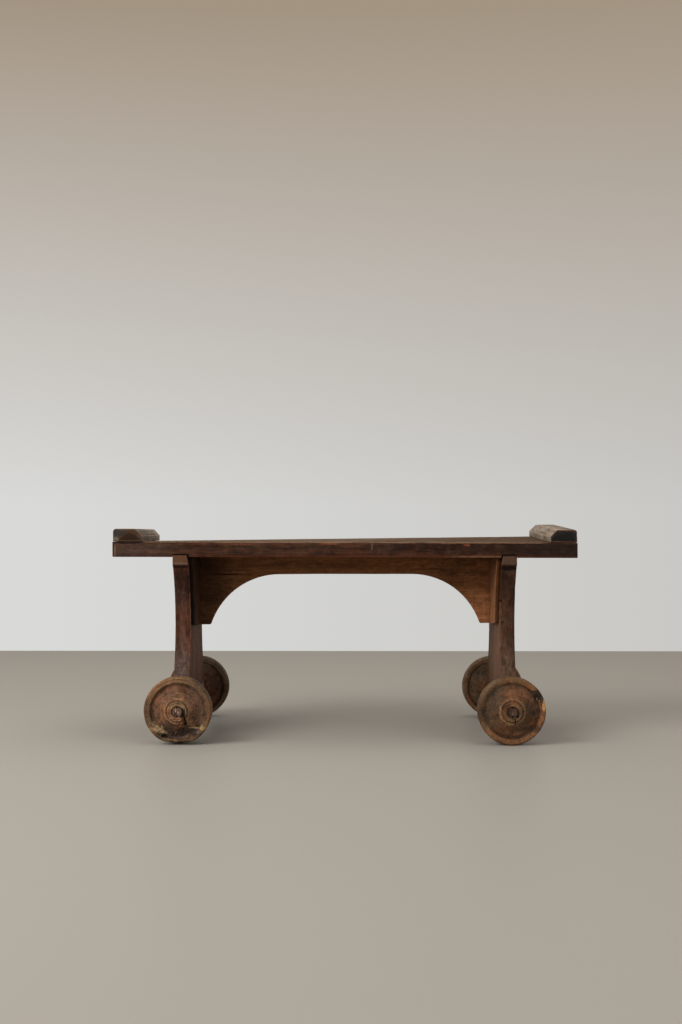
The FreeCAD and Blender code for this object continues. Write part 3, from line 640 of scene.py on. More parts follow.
def turned_wood(corner, tones, seed, film, face_marks=(), hub_marks=(), contrast=1.0, ringed=0.45):
    """A turned wheel: tones by radius, turned rings, mottled dirt and fine checks.

    Marks on the face are (across, up, width, height, colour, strength, raggedness and, for some,
    softness). Marks on the hub are (across, up, out, width, depth, height, colour, ...).
    """
    finish, tree, shader = new_finish(f"{corner}_wheel_wood", gloss=0.1)
    centre, outward = wheel_place(corner)
    rows = [(across, up, RIM_FACE, width, 30, *rest) for across, up, width, *rest in face_marks]
    marks = [((centre.x + across * MM, centre.y + outward * out * MM, centre.z + up * MM),
              (width * MM, depth * MM, height * MM), *rest)
             for across, up, out, width, depth, height, *rest in rows + list(hub_marks)]
    here = own_place(tree)
    from_centre = vector_of(tree, "SUBTRACT", here, tuple(centre))
    face = placed(tree, TURNING, {"Vector": from_centre})
    shifted = own_place(tree, shift=(seed * 1.3, seed * 0.7, seed * 0.4),
                        turn=(0, math.radians(40 * seed), 0))
    weather = placed(tree, WEATHER, {"Vector": shifted})
    coarse = speckle(tree, shifted, 62.0, detail=6.0, roughness=0.68, distortion=0.5)
    scuffs = speckle(tree, shifted, 290.0, detail=4.0, roughness=0.62)
    rust = spread(tree, speckle(tree, shifted, 30.0, detail=4.0), 0.48, 0.62)
    share = reckon(tree, "DIVIDE", face["Radius"], WHEEL_RADIUS * MM)
    tone = add(tree, "ShaderNodeValToRGB", {"Fac": share})
    ramp = tone.color_ramp
    while len(ramp.elements) < len(tones):
        ramp.elements.new(0.5)
    for element, (radius, tint) in zip(ramp.elements, tones):
        element.position = radius / WHEEL_RADIUS
        element.color = colour(*tint)
    base = tone.outputs["Color"]
    base = stain(tree, base, colour(*film), times(tree, weather["Patches"], 0.7))
    base = stain(tree, base, (1.2, 0.98, 0.9, 1), times(tree, rust, contrast), blend="MULTIPLY")
    base = lay_marks(tree, base, here, marks)
    paler = stain(tree, base, (1.9, 1.75, 1.6, 1), 1.0, blend="MULTIPLY")
    base = stain(tree, base, paler, times(tree, spread(tree, coarse, 0.5, 0.62), 0.85 * contrast))
    base = deepen(tree, base, 0.35, times(tree, spread(tree, coarse, 0.48, 0.36), contrast))
    base = deepen(tree, base, 0.5, times(tree, face["Rings"], ringed * contrast))
    base = stain(tree, base, paler, times(tree, face["Fine"], 0.4 * contrast))
    base = deepen(tree, base, 0.4, times(tree, spread(tree, scuffs, 0.52, 0.64), 0.6 * contrast))
    base = stain(tree, base, paler, times(tree, spread(tree, scuffs, 0.46, 0.36), 0.4 * contrast))
    edge = placed(tree, RUB, {"Vector": here, "Start": 0.5, "Full": 0.95})["Mask"]
    base = stain(tree, base, colour(*RIM_RUBBED), times(tree, edge, 0.3))
    base = deepen(tree, base, 0.3, times(tree, face["Checks"], 0.5))
    base = deepen(tree, base, 0.25, times(tree, weather["Specks"], 0.6))
    tree.links.new(base, shader.inputs["Base Color"])
    tree.links.new(spread(tree, weather["Blotches"], 0.0, 1.0, 0.55, 0.75), shader.inputs["Roughness"])
    height = reckon(tree, "MULTIPLY_ADD", face["Checks"], -0.8, face["Height"])
    height = reckon(tree, "MULTIPLY_ADD", coarse, 1.6, height)
    join_bump(tree, shader, height, 0.6, 0.9 * MM)
    return finish


def lathe_profile(rim_width, groove_depth):
    """Half a wheel's section, as (out from the middle of the rim, radius)."""
    inside = WHEEL_RADIUS - rim_width
    groove = RIM_FACE - groove_depth
    return [
        (HUB_BACK, BORE), (MOUTH_FOOT, BORE), (HUB_FACE, MOUTH), (HUB_FACE, BOSS),
        (RING_FOOT, BOSS + 0.4), (RING_FOOT, 20.4), (RING_FACE, 21.6), (RING_FACE, 24),
        (WEB_TOP, 25.5), (groove, inside - 4), (RIM_FACE, inside + 2.5), (RIM_FACE, WHEEL_RADIUS),
        (-RIM_FACE, WHEEL_RADIUS - TREAD_TAPER), (-RIM_FACE, BACK_RIM), (-groove, BACK_RIM),
        (-WEB_TOP, HUB_RADIUS), (HUB_BACK, HUB_RADIUS),
    ]


def turn_wheel(centre, outward, rim_width, groove_depth):
    """A wheel as it comes off the lathe, its edges eased and its faces divided for the wear."""
    wood = bmesh.new()
    profile = [wood.verts.new((centre.x + radius * MM, centre.y + outward * out * MM, centre.z))
               for out, radius in lathe_profile(rim_width, groove_depth)]
    outline = [wood.edges.new((vert, profile[index - 1])) for index, vert in enumerate(profile)]
    bmesh.ops.spin(wood, geom=profile + outline, cent=centre, axis=(0, 1, 0), dvec=(0, 0, 0),
                   angle=math.tau, steps=TURNING_STEPS, use_merge=True, use_duplicate=False)
    bmesh.ops.remove_doubles(wood, verts=wood.verts, dist=1e-6)
    bmesh.ops.recalc_face_normals(wood, faces=wood.faces)

    def radii(edge):
        return sorted(math.hypot(vert.co.x - centre.x, vert.co.z - centre.z) / MM for vert in edge.verts)

    def outs(edge):
        return sorted((vert.co.y - centre.y) * outward / MM for vert in edge.verts)

    def crosses(edge, longest):
        """Whether an edge is longer than this when measured across the turned rings."""
        near, far = radii(edge)
        back, front = outs(edge)
        return math.hypot(far - near, front - back) > longest

    rim_arrises = [edge for edge in sharp_edges(wood) if radii(edge)[0] > STEP_WITHIN]
    ease(wood, rim_arrises, 4.5 * MM, segments=5)
    step_edges = [edge for edge in sharp_edges(wood, 12)
                  if HUB_WITHIN < radii(edge)[0] and radii(edge)[1] < STEP_WITHIN]
    ease(wood, step_edges, 2.2 * MM, segments=4, clamp=True)
    hub_edges = [edge for edge in sharp_edges(wood, 35) if radii(edge)[1] < HUB_WITHIN]
    ease(wood, hub_edges, 0.7 * MM, segments=2, clamp=True)
    for longest in (12, 5, 2.4):
        long_edges = [edge for edge in wood.edges if crosses(edge, longest)]
        bmesh.ops.subdivide_edges(wood, edges=long_edges, cuts=1, use_grid_fill=True)
    face_edges = [edge for edge in wood.edges if outs(edge)[0] > FINE_OUT and crosses(edge, 1.3)]
    bmesh.ops.subdivide_edges(wood, edges=face_edges, cuts=1, use_grid_fill=True)
    return wood


def flat_depth(bearing, worn):
    """What a flat broken off the rim takes from the radius in a direction, with soft ends."""
    angle, depth = worn
    facing = max(0.1, math.cos(bearing - math.radians(angle)))
    gone = WHEEL_RADIUS - (WHEEL_RADIUS - depth) / facing
    return (gone + math.hypot(gone, FLAT_SOFTNESS)) / 2


def ring_depth(place, radius, turn, rings, seed):
    """How deep the turned rings and the hollows of wear are at a place on the outer face."""
    fine_turning = noise.noise(Vector((radius / 1.7, turn.x * 0.5, seed + turn.y * 0.5)))
    sink = 0.3 * (0.5 + 0.5 * fine_turning) + 0.7 * uneven_share(place, 20 * MM, seed + 3)
    wander = radius + 0.5 * ragged(turn, 0.6, seed + 6)
    return sink + sum(depth * max(0, 1 - abs(wander - at) / width) for at, width, depth in rings)


def gap_to_crack(spot, start, finish):
    """How far a spot on the face is from the line of a crack."""
    start, run = Vector(start), Vector(finish) - Vector(start)
    return (spot - start - run * clipped((spot - start).dot(run) / run.length_squared)).length


def break_depth(place, spot, turn, cracks, chips, seed):
    """How deep the cracks and chips are at a place on the outer face."""
    strayed = spot + turn.xy * 1.2 * ragged(place, 7 * MM, seed + 4)
    sink = sum(depth * max(0, 1 - gap_to_crack(strayed, start, finish) / width)
               for start, finish, width, depth in cracks)
    for at, size, depth in chips:
        away = (spot - Vector(at)).length / size + 0.35 * ragged(place, 5 * MM, seed + 5)
        sink += depth * clipped((1 - away) * 2.5)
    return sink


def make_wheel(corner, finish, rim_width, seed, groove_depth=4.0, rings=(), cracks=(), chips=(),
               rim_loss=1.0, worn=None):
    """Rings are (radius, width, depth), cracks (start, end, width, depth), chips (place, size, depth).

    Worn is where the rim's front has been broken flat, as (angle, depth), in degrees and millimetres.
    """
    centre, outward = wheel_place(corner)
    wood = turn_wheel(centre, outward, rim_width, groove_depth)
    rub = wood.verts.layers.float.new("rub")
    wood.normal_update()
    for vert in wood.verts:
        across, up = (vert.co.x - centre.x) / MM, (vert.co.z - centre.z) / MM
        out = (vert.co.y - centre.y) * outward / MM
        radius, bearing = math.hypot(across, up), math.atan2(up, across)
        turn = Vector((across / radius, up / radius, 0))
        uneven = uneven_share(turn, 0.55, seed)
        lift = sink = 0.0
        if radius > TREAD_FROM:
            # the tread wears, least along the line that the wheel stands on, and its arrises fray
            standing = math.exp(-((bearing + math.pi / 2) / 0.3) ** 2)
            near_face = clipped((abs(out) - FRAY_OUT) / (RIM_FACE - FRAY_OUT))
            fray = max(0, ragged(vert.co, 9 * MM, seed + 1) - 0.15)
            lift = 0.4 * uneven * (1 - standing) + near_face * rim_loss * (0.5 * uneven + 1.5 * fray)
            vert[rub] = near_face * (0.4 + 0.8 * uneven)
        if worn and radius > FLAT_FROM:
            gone = flat_depth(bearing, worn) * (1 + 0.3 * ragged(vert.co, 16 * MM, seed + 7))
            run_out = clipped((out - FLAT_OUT) / (RIM_FACE - FLAT_OUT))
            lift += gone * run_out * (radius - FLAT_FROM) / (WHEEL_RADIUS - FLAT_FROM)
        if out > RINGS_OUT and RINGS_FROM < radius < RINGS_WITHIN:
            sink = ring_depth(vert.co, radius, turn, rings, seed)
        if out > BREAKS_OUT and radius > BREAKS_FROM:
            sink += break_depth(vert.co, Vector((across, up)), turn, cracks, chips, seed)
        vert.co -= Vector((turn.x, 0, turn.y)) * lift * MM
        vert.co.y -= outward * sink * MM
    set_in_place(wood, f"wheel_{corner}_turned", f"wheel_{corner}", [finish],
                 body=f"{corner}_wheel")


WARM_TONES = plain_tones(
    rim=(110, 84, 60), groove=(62, 42, 28), web=(96, 68, 50), inner_web=(106, 76, 54),
    ring=(134, 102, 74), boss=(132, 104, 76), mouth=(60, 42, 30))
DEEP_TONES = plain_tones(
    rim=(106, 76, 52), groove=(52, 35, 23), web=(82, 58, 40), inner_web=(78, 55, 38),
    ring=(104, 80, 56), boss=(94, 72, 52), mouth=(44, 31, 22))
SHADED_TONES = plain_tones(
    rim=(58, 44, 31), groove=(36, 24, 16), web=(60, 40, 28), inner_web=(64, 40, 30),
    ring=(84, 58, 40), boss=(76, 54, 38), mouth=(36, 25, 18))
FRONT_LEFT_FINISH = turned_wood(
    "front_left", WARM_TONES, seed=1, film=(70, 58, 47), ringed=0.75, face_marks=[
        (-60, 4, 7, 30, (66, 52, 41), 0.6, 0.5, 0.7),
        (36, 6, 18, 30, (86, 66, 52), 0.5, 0.5, 0.7),
        (-16, 24, 20, 14, (108, 78, 60), 0.5, 0.5, 0.7),
        (0, 59, 30, 8, (126, 100, 74), 0.35, 0.5, 0.7),
        (0, -44, 40, 14, (58, 46, 40), 0.6, 0.5, 0.6),
        (-48, -6, 5, 9, (48, 36, 28), 0.7, 0.9),
        (-13, -39, 18, 8, (54, 44, 39), 0.8, 0.8),
        (-20, -30, 18, 12, (56, 45, 38), 0.65, 0.9),
        (18, -39, 20, 9, (44, 35, 30), 0.8, 0.8),
        (23, -51, 14, 4, (98, 72, 54), 0.5, 0.9),
        (3, -60, 34, 5, (66, 49, 36), 0.5, 0.9),
        (-45, -22, 3.5, 6, (132, 112, 84), 0.6, 0.9),
        (-38, -33, 10, 5.5, (154, 132, 98), 0.8, 0.9),
        (-27, -39, 8, 4, (146, 124, 92), 0.75, 0.9),
        (-51, -35, 4, 4, (138, 114, 78), 0.8, 0.9),
        (-30, -48, 12, 6, (40, 31, 25), 0.8, 0.8),
        (34, -31, 10, 2, (140, 116, 84), 0.85, 0.7),
        (46, -32, 7, 4.5, (158, 134, 98), 0.85, 0.9),
        (53, -24, 5, 5, (118, 94, 66), 0.7, 0.9),
        (38, -29, 6, 3, (36, 28, 23), 0.85, 0.7),
        (40, -40, 4, 2.5, (112, 102, 94), 0.7, 0.8),
        (30, -8, 9, 9, (52, 40, 33), 0.6, 0.8),
        (-3.5, -57, 5, 3, (134, 108, 72), 0.9, 0.6),
        (-11, -58, 4, 3, (24, 19, 16), 0.8, 0.6),
        (-25, -48, 6, 2.5, (16, 14, 13), 0.95, 0.4),
    ], hub_marks=[
        (11, -5, 28, 5, 12, 11, (24, 16, 10), 0.9, 0.5),
        (15, -18, 26, 3.5, 20, 12, (28, 19, 13), 0.85, 0.5),
        (4, -24, 24, 3.5, 30, 6, (116, 80, 60), 0.7, 0.5),
        (0, -31, 24, 3, 30, 5, (116, 80, 60), 0.7, 0.5),
        (-4, -38, 24, 3, 30, 5, (104, 74, 56), 0.7, 0.5),
    ])
FRONT_RIGHT_FINISH = turned_wood(
    "front_right", DEEP_TONES, seed=2, film=(78, 68, 52), contrast=0.95, face_marks=[
        (49, 33, 10, 13, (36, 31, 27), 0.9, 0.8),
        (57, 18, 5, 10, (36, 31, 27), 0.8, 0.8),
        (60, 12, 3.5, 9, (170, 130, 80), 0.95, 0.5),
        (47, 23, 1.4, 3, (126, 108, 86), 0.6, 0.9),
        (-58, 2, 12, 40, (54, 43, 33), 0.7, 0.5, 0.7),
        (-30, 16, 18, 22, (60, 46, 34), 0.65, 0.5, 0.8),
        (0, 32, 20, 10, (108, 74, 52), 0.5, 0.5, 0.7),
        (40, 45, 9, 5, (112, 80, 50), 0.7, 0.7),
        (-10, -60, 30, 7, (98, 60, 34), 0.5, 0.7),
        (38, -34, 12, 8, (42, 33, 26), 0.5, 0.8),
        (36, 6, 12, 18, (44, 36, 29), 0.55, 0.8),
        (26, -34, 16, 7, (46, 35, 27), 0.6, 0.8),
        (-22, -4, 3, 15, (132, 104, 70), 0.55, 0.7),
        (-2, -24, 14, 3, (132, 102, 68), 0.55, 0.7),
    ], hub_marks=[
        (3, -18, 27, 1, 30, 7, (112, 88, 64), 0.8, 0.3),
        (5, -18, 27, 1.2, 30, 7, (24, 17, 12), 0.9, 0.3),
        # Painted shade: a dark crescent in the bore's mouth, right of the axle's end.
        (9, -4, 28, 3.5, 12, 8, (20, 14, 10), 0.9, 0.4),
    ])
REAR_LEFT_FINISH = turned_wood("rear_left", SHADED_TONES, seed=3, film=(60, 52, 42))
REAR_RIGHT_FINISH = turned_wood("rear_right", DEEP_TONES, seed=4, film=(92, 80, 64))
REAR_RINGS = [(13.5, 1.3, 1.2), (30, 1.6, 1.0), (38, 1.6, 0.8)]

make_wheel("front_left", FRONT_LEFT_FINISH, rim_width=13.5, seed=1, rim_loss=1.2, groove_depth=3.2,
           worn=(-91, 6.2),
           rings=[(12.6, 0.9, 1.0), (15.5, 0.9, 0.9), (20, 1.2, 0.4), (28.5, 1.6, 0.6), (33, 1.4, 0.4),
                  (37.5, 2.0, 0.6), (43, 1.5, 0.3)],
           cracks=[((7, 3), (13, -9), 2.4, 4.5), ((13, -9), (16, -24), 1.8, 3.5),
                   ((16, -24), (10, -42), 1.5, 1.5), ((8, -18), (-8, -44), 1.6, 2.5),
                   ((-36, -30), (-14, -42), 1.5, 1.5)],
           chips=[((-25, -48), 5, 4.0), ((38, -29), 6, 1.8), ((24, -53), 7, 1.6), ((-8, -52), 7, 1.4)])
make_wheel("front_right", FRONT_RIGHT_FINISH, rim_width=10, seed=2, rim_loss=0.6,
           rings=[(13.5, 1.2, 1.1), (16.6, 0.8, 0.6), (28.5, 1.6, 0.6), (41, 2.0, 0.5), (35, 1.5, 0.3)],
           cracks=[((4.5, -12), (4.5, -25), 1.2, 1.8)],
           chips=[((54, 31), 9, 1.2), ((63, 9), 6, 0.8)])
make_wheel("rear_left", REAR_LEFT_FINISH, rim_width=11, seed=3, rings=REAR_RINGS,
           cracks=[((-10, 14), (-24, 40), 1.4, 2.0)], chips=[((40, -46), 6, 2.0)])
make_wheel("rear_right", REAR_RIGHT_FINISH, rim_width=11, seed=4, rings=REAR_RINGS,
           cracks=[((12, 8), (40, 22), 1.4, 2.0)], chips=[((-52, 30), 6, 2.0)])


# ---- plank and cleats ----

# How far the old plank's corners have twisted from flat: the left one, then the right one.
TWIST = {"front": (1.0 * MM, -1.2 * MM), "rear": (-4.8 * MM, 5.8 * MM)}
HOUSING = 4.6 * MM
CLEAT_CHAMFER = 13.5 * MM
CLEAT_ROUND = 6 * MM


def wind_at(place):
    """How far the twisted plank has lifted at a place."""
    across = (place.x - board_low.x) / (board_high.x - board_low.x)
    back = (place.y - board_low.y) / (board_high.y - board_low.y)
    front, rear = (left * (1 - across) + right * across for left, right in TWIST.values())
    return front * (1 - back) + rear * back


def twist(wood):
    """Lifts or lowers every place of a piece with the plank."""
    for vert in wood.verts:
        vert.co.z += wind_at(vert.co)


def meet_plank(wood, top):
    """Lifts or lowers only a piece's top with the plank, so that no gap opens between them."""
    for vert in wood.verts:
        if vert.co.z > top - HAIR:
            vert.co.z += wind_at(vert.co)


def make_plank():
    """The plank, with a shallow housing across its underside for the top of each leg.

    Its long faces, its ends and its top have a finish each.
    """
    wood = rough_block(board_low, board_high)
    housings = [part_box(f"leg_{side}") for side in SIDES]
    walls = [place for low, high in housings for place in (low.x, high.x)]
    marks = [mark for mark in rule_marks(board_low.x, board_high.x, 7 * MM)
             if min(abs(mark - wall) for wall in walls) > 2 * MM]
    score_across(wood, 0, marks + [wall + step for wall in walls for step in (-0.4 * MM, 0.4 * MM)])
    score_across(wood, 1, rule_marks(board_low.y, board_high.y, 7 * MM))
    score_across(wood, 2, rule_marks(board_low.z, board_high.z, 6 * MM, margins=(HOUSING, 9 * MM)))
    age(wood, soften=1.6 * MM, rub_depth=1.1 * MM, seed=11, reach=5 * MM)
    for vert in wood.verts:
        if any(low.x < vert.co.x < high.x for low, high in housings):
            vert.co.z = max(vert.co.z, board_low.z + HOUSING)
    bmesh.ops.remove_doubles(wood, verts=wood.verts, dist=0.01 * MM)
    twist(wood)
    for face in wood.faces:
        face.material_index = 1 if abs(face.normal.x) > 0.8 else 2 if face.normal.z > 0.7 else 0
    set_in_place(wood, "plank", "top_board", [PLANK, PLANK_END, PLANK_TOP])


def make_cleat(side, end_finish, seed, front_drift, rear_drift):
    """A cleat above the plank's top. Its inner edge isn't quite square: it drifts from front to rear."""
    low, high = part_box(f"cleat_{side}")
    low.z = board_high.z
    inner, outer = (high.x, low.x) if side == "left" else (low.x, high.x)
    wood = rough_block(low, high)

    def top_edges(place):
        corner = Vector((place, high.z))
        return [edge for edge in wood.edges
                if all((vert.co.xz - corner).length < HAIR for vert in edge.verts)]

    ease(wood, top_edges(inner), CLEAT_CHAMFER, segments=1)
    ease(wood, top_edges(outer), CLEAT_ROUND, segments=5)
    score_across(wood, 0, rule_marks(low.x, high.x, 6 * MM))
    score_across(wood, 1, rule_marks(low.y, high.y, 6 * MM))
    score_across(wood, 2, rule_marks(low.z, high.z, 5 * MM))
    age(wood, soften=0.7 * MM, rub_depth=1.2 * MM, seed=seed, reach=5 * MM)
    for vert in wood.verts:
        back = (vert.co.y - low.y) / (high.y - low.y)
        drift = front_drift * (1 - back) + rear_drift * back
        vert.co.x += (vert.co.x - outer) / (inner - outer) * drift
    twist(wood)
    set_in_place(wood, f"cleat_{side}_worn", f"cleat_{side}", [CLEAT, end_finish],
                 edge_axis=Vector((0, 1, 0)))


make_plank()
make_cleat("left", CLEAT_END_LEFT, seed=14, front_drift=1.7 * MM, rear_drift=-4.0 * MM)
make_cleat("right", CLEAT_END_RIGHT, seed=17, front_drift=2.5 * MM, rear_drift=-1.3 * MM)


# ---- legs and backings ----

SHOULDER = 86 * MM
LEG_TOP = 359 * MM
LIP = 150 * MM
LIP_BOTTOM = 340 * MM
LIP_STEP = 3.5 * MM
LIP_TAPER = 3.2 * MM
LIP_TAPER_FROM = 130 * MM
NOSING = [LIP_BOTTOM + step * MM for step in (-7, -5.5, -4, -2.5, -1, 0.5, 2)]
WAIST_HIGH = 222 * MM
WAIST_LOW = 215 * MM
WAIST = 105 * MM
FOOT = 142 * MM
COVE = 165 * MM
SCOOP_RISE = LIP_BOTTOM - WAIST_HIGH
SCOOP_RUN = LIP - LIP_STEP - WAIST
SCOOP = (SCOOP_RISE ** 2 + SCOOP_RUN ** 2) / 2 / SCOOP_RUN
BACKING_INSET = 6 * MM
BACKING_TUCK = 4 * MM
BOW = 7.2 * MM
BOW_HALF_WIDTH = 99 * MM
BOW_REACH = 40 * MM


def leg_half_depth(level):
    """Half a leg's depth at a level: lip with a worn nosing, scoop, waist, cove and foot."""
    if level > WAIST_HIGH:
        rise = min(level, LIP_BOTTOM) - WAIST_HIGH
        scooped = WAIST + SCOOP - math.sqrt(SCOOP ** 2 - rise ** 2)
        share = clipped((level - NOSING[0]) / (NOSING[-1] - NOSING[0]))
        return scooped + (LIP - scooped) * share * share * (3 - 2 * share)
    if level > WAIST_LOW:
        return WAIST
    drop = min(WAIST_LOW - level, math.sqrt(COVE ** 2 - (COVE - FOOT + WAIST) ** 2))
    return WAIST + COVE - math.sqrt(COVE ** 2 - drop ** 2)


def backing_half_depth(level):
    """Half a backing's depth at a level: it follows the leg's scoop, a little inside it."""
    radius = SCOOP + BACKING_INSET
    rise = max(0, min(level, LIP_BOTTOM) - WAIST_HIGH)
    return WAIST - BACKING_INSET + radius - math.sqrt(radius ** 2 - rise ** 2)


def saw_to(wood, half_depth, full):
    """Draws each vertex in from the full half depth to the outline's."""
    for vert in wood.verts:
        vert.co.y *= half_depth(vert.co.z) / full


def make_leg(side, finish, seed, thicker):
    """A waisted leg, a little thicker on its outer face than it was drawn."""
    box_low, box_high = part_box(f"leg_{side}")
    left = side == "left"
    low = Vector((box_low.x - thicker if left else box_low.x, -LIP, SHOULDER))
    high = Vector((box_high.x if left else box_high.x + thicker, LIP, LEG_TOP))
    inner = high.x if left else low.x
    wood = rough_block(low, high)
    levels = [level for level in rule_marks(low.z, high.z, 5 * MM)
              if not NOSING[0] - MM < level < NOSING[-1] + MM]
    score_across(wood, 2, levels + NOSING)
    score_across(wood, 1, rule_marks(low.y, high.y, 9 * MM))
    score_across(wood, 0, rule_marks(low.x, high.x, 7 * MM))
    saw_to(wood, leg_half_depth, LIP)
    for vert in wood.verts:
        rise = (vert.co.z - LIP_BOTTOM) / (LEG_TOP - LIP_BOTTOM)
        if rise > 0 and abs(vert.co.y) > LIP_TAPER_FROM and abs(vert.co.x - inner) < HAIR:
            vert.co.x += math.copysign(LIP_TAPER, inner) * rise
    meet_plank(wood, LEG_TOP)
    age(wood, soften=1.2 * MM, rub_depth=1.3 * MM, seed=seed, reach=5 * MM)
    set_in_place(wood, f"leg_{side}_worn", f"leg_{side}", [finish])


def make_backing(side, finish, edge_finish, seed, lift):
    """A backing board, its lower end sawn to a shallow bow, lowest behind the apron."""
    low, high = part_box(f"backing_{side}")
    high = high + Vector((0, 0, BACKING_TUCK))
    wood = rough_block(low, high)
    score_across(wood, 2, rule_marks(low.z, high.z, 6 * MM))
    score_across(wood, 1, rule_marks(low.y, high.y, 9 * MM))
    saw_to(wood, backing_half_depth, high.y)
    for vert in wood.verts:
        bow = lift - BOW * (1 - (vert.co.y / BOW_HALF_WIDTH) ** 2)
        vert.co.z += bow * max(0, 1 - (vert.co.z - low.z) / BOW_REACH)
    meet_plank(wood, high.z)
    age(wood, soften=0.8 * MM, rub_depth=0.7 * MM, seed=seed, reach=4 * MM, chip_depth=0.8 * MM)
    set_in_place(wood, f"backing_{side}_worn", f"backing_{side}", [finish, edge_finish],
                 edge_axis=Vector((0, 1, 0)))


make_leg("left", LEG_LEFT, seed=21, thicker=1.2 * MM)
make_leg("right", LEG_RIGHT, seed=24, thicker=0.8 * MM)
make_backing("left", BACKING_LEFT_DIRTY_AND_SHADED, BACKING_LEFT_EDGE_DIRTY_AND_SHADED, seed=31, lift=-1.2 * MM)
make_backing("right", BACKING_RIGHT_PAINTED_LIGHT, BACKING_RIGHT_EDGE_PAINTED_LIGHT, seed=34, lift=2.8 * MM)


# ---- apron ----

ARCH_RADIUS = 146 * MM
ARCH_PLACE = 135 * MM
ARCH_CENTRE_LEVEL = 170.5 * MM
ARCH_STEPS = 26
FLAT_STEPS = 18
APRON_FOOT = 273.4 * MM
APRON_TONGUE = 3 * MM
APRON_TUCK = 3 * MM
LEFT_FOOT_DROP = 3.4 * MM


def arch_level(across):
    """The level of the apron's lower edge: flat, then the arch, then the foot."""
    run = abs(across) - ARCH_PLACE
    if run <= 0:
        return ARCH_CENTRE_LEVEL + ARCH_RADIUS
    if run >= ARCH_RADIUS:
        return apron_low.z
    return max(apron_low.z, ARCH_CENTRE_LEVEL + math.sqrt(ARCH_RADIUS ** 2 - run ** 2))


def make_apron():
    """The arched apron, without its tongues. Its left foot hangs a little lower than its right."""
    low = Vector((apron_low.x + APRON_TONGUE, apron_low.y, apron_low.z))
    high = Vector((apron_high.x - APRON_TONGUE, apron_high.y, apron_high.z + APRON_TUCK))
    wood = rough_block(low, high)
    foot = math.asin((APRON_FOOT - ARCH_PLACE) / ARCH_RADIUS)
    arch = [ARCH_PLACE + ARCH_RADIUS * math.sin(foot * step / ARCH_STEPS) for step in range(ARCH_STEPS + 1)]
    flat = [ARCH_PLACE * step / FLAT_STEPS for step in range(FLAT_STEPS)]
    right = flat + arch + [278 * MM, 284 * MM, 290 * MM]
    score_across(wood, 0, sorted(-place for place in right[1:]) + right)
    score_across(wood, 2, rule_marks(low.z, high.z, 7 * MM))
    score_across(wood, 1, [low.y + 5 * MM, low.y + 10 * MM, low.y + 15 * MM])
    for vert in wood.verts:
        share = (vert.co.z - low.z) / (high.z - low.z)
        bottom = arch_level(vert.co.x)
        vert.co.z = bottom + (high.z - bottom) * share
        if vert.co.x < 0:
            vert.co.z -= LEFT_FOOT_DROP * (1 - share) * (vert.co.x / low.x) ** 2
    age(wood, soften=1.0 * MM, rub_depth=0.8 * MM, seed=41, reach=4 * MM, chip_depth=0.7 * MM)
    set_in_place(wood, "apron_worn", "apron", [APRON])


make_apron()


# ---- axles, pegs and wedges: the solids as they are, with a finish ----

AXLE = old_wood(
    "axle_wood", "y", dark=(73, 52, 39), light=(131, 108, 91), film=(114, 98, 84),
    rubbed=(105, 80, 62), seed=51, film_amount=0.5, marks=[
        ((0.3175, -0.21, 0.0650), (0.0095, 0.004, 0.0095), (64, 46, 36), 0.8, 0.3),
        ((0.3175, -0.21, 0.0640), (0.0030, 0.004, 0.0035), (122, 90, 74), 0.6, 0.8),
        ((-0.3165, -0.21, 0.0650), (0.0060, 0.004, 0.0075), (96, 74, 60), 0.7, 0.8),
        ((-0.3185, -0.21, 0.0675), (0.0018, 0.004, 0.0032), (176, 152, 136), 0.8, 0.8),
        ((-0.3155, -0.21, 0.0630), (0.0022, 0.004, 0.0028), (166, 140, 124), 0.7, 0.8),
        ((-0.3205, -0.21, 0.0610), (0.0016, 0.004, 0.0030), (52, 38, 30), 0.8, 0.6),
    ])
PEG = end_grain(
    "peg_wood", dark=(58, 42, 31), light=(98, 74, 55), rubbed=(110, 84, 62),
    pith=(0, 0, 0.07), seed=52)
WEDGE = old_wood(
    "wedge_wood", "y", dark=(92, 66, 54), light=(128, 96, 80), film=(110, 92, 80),
    rubbed=(130, 100, 80), seed=53)


def dress(node, finish):
    """Gives one of the solids a finish."""
    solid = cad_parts[node]
    solid.data.materials.clear()
    solid.data.materials.append(finish)


for side in SIDES:
    dress(f"axle_{side}", AXLE)
    dress(f"axle_pegs_{side}", PEG)
    dress(f"wedge_front_{side}", WEDGE)
    dress(f"wedge_rear_{side}", WEDGE)


# ---- nails ----

SOLID_HEAD = 3.75 * MM
WORN_HEAD = 3.4 * MM
HEAD_RISE = 1.2 * MM
PROUD = 0.3 * MM


def make_iron():
    """Old dark iron with specks of dirt, and rusty patches that are rougher and shine less."""
    finish, tree, shader = new_finish("nail_iron")
    here = own_place(tree)
    weather = placed(tree, WEATHER, {"Vector": stretch(tree, here, (9, 9, 9))})
    base = stain(tree, colour(34, 28, 25), colour(84, 50, 34), weather["Patches"])
    base = stain(tree, base, colour(20, 17, 16), weather["Specks"])
    tree.links.new(base, shader.inputs["Base Color"])
    tree.links.new(spread(tree, weather["Patches"], 0, 1, 0.45, 0.85), shader.inputs["Roughness"])
    tree.links.new(spread(tree, weather["Patches"], 0, 1, 0.7, 0.1), shader.inputs["Metallic"])
    join_bump(tree, shader, weather["Blotches"], 0.5, 0.3 * MM)
    return finish


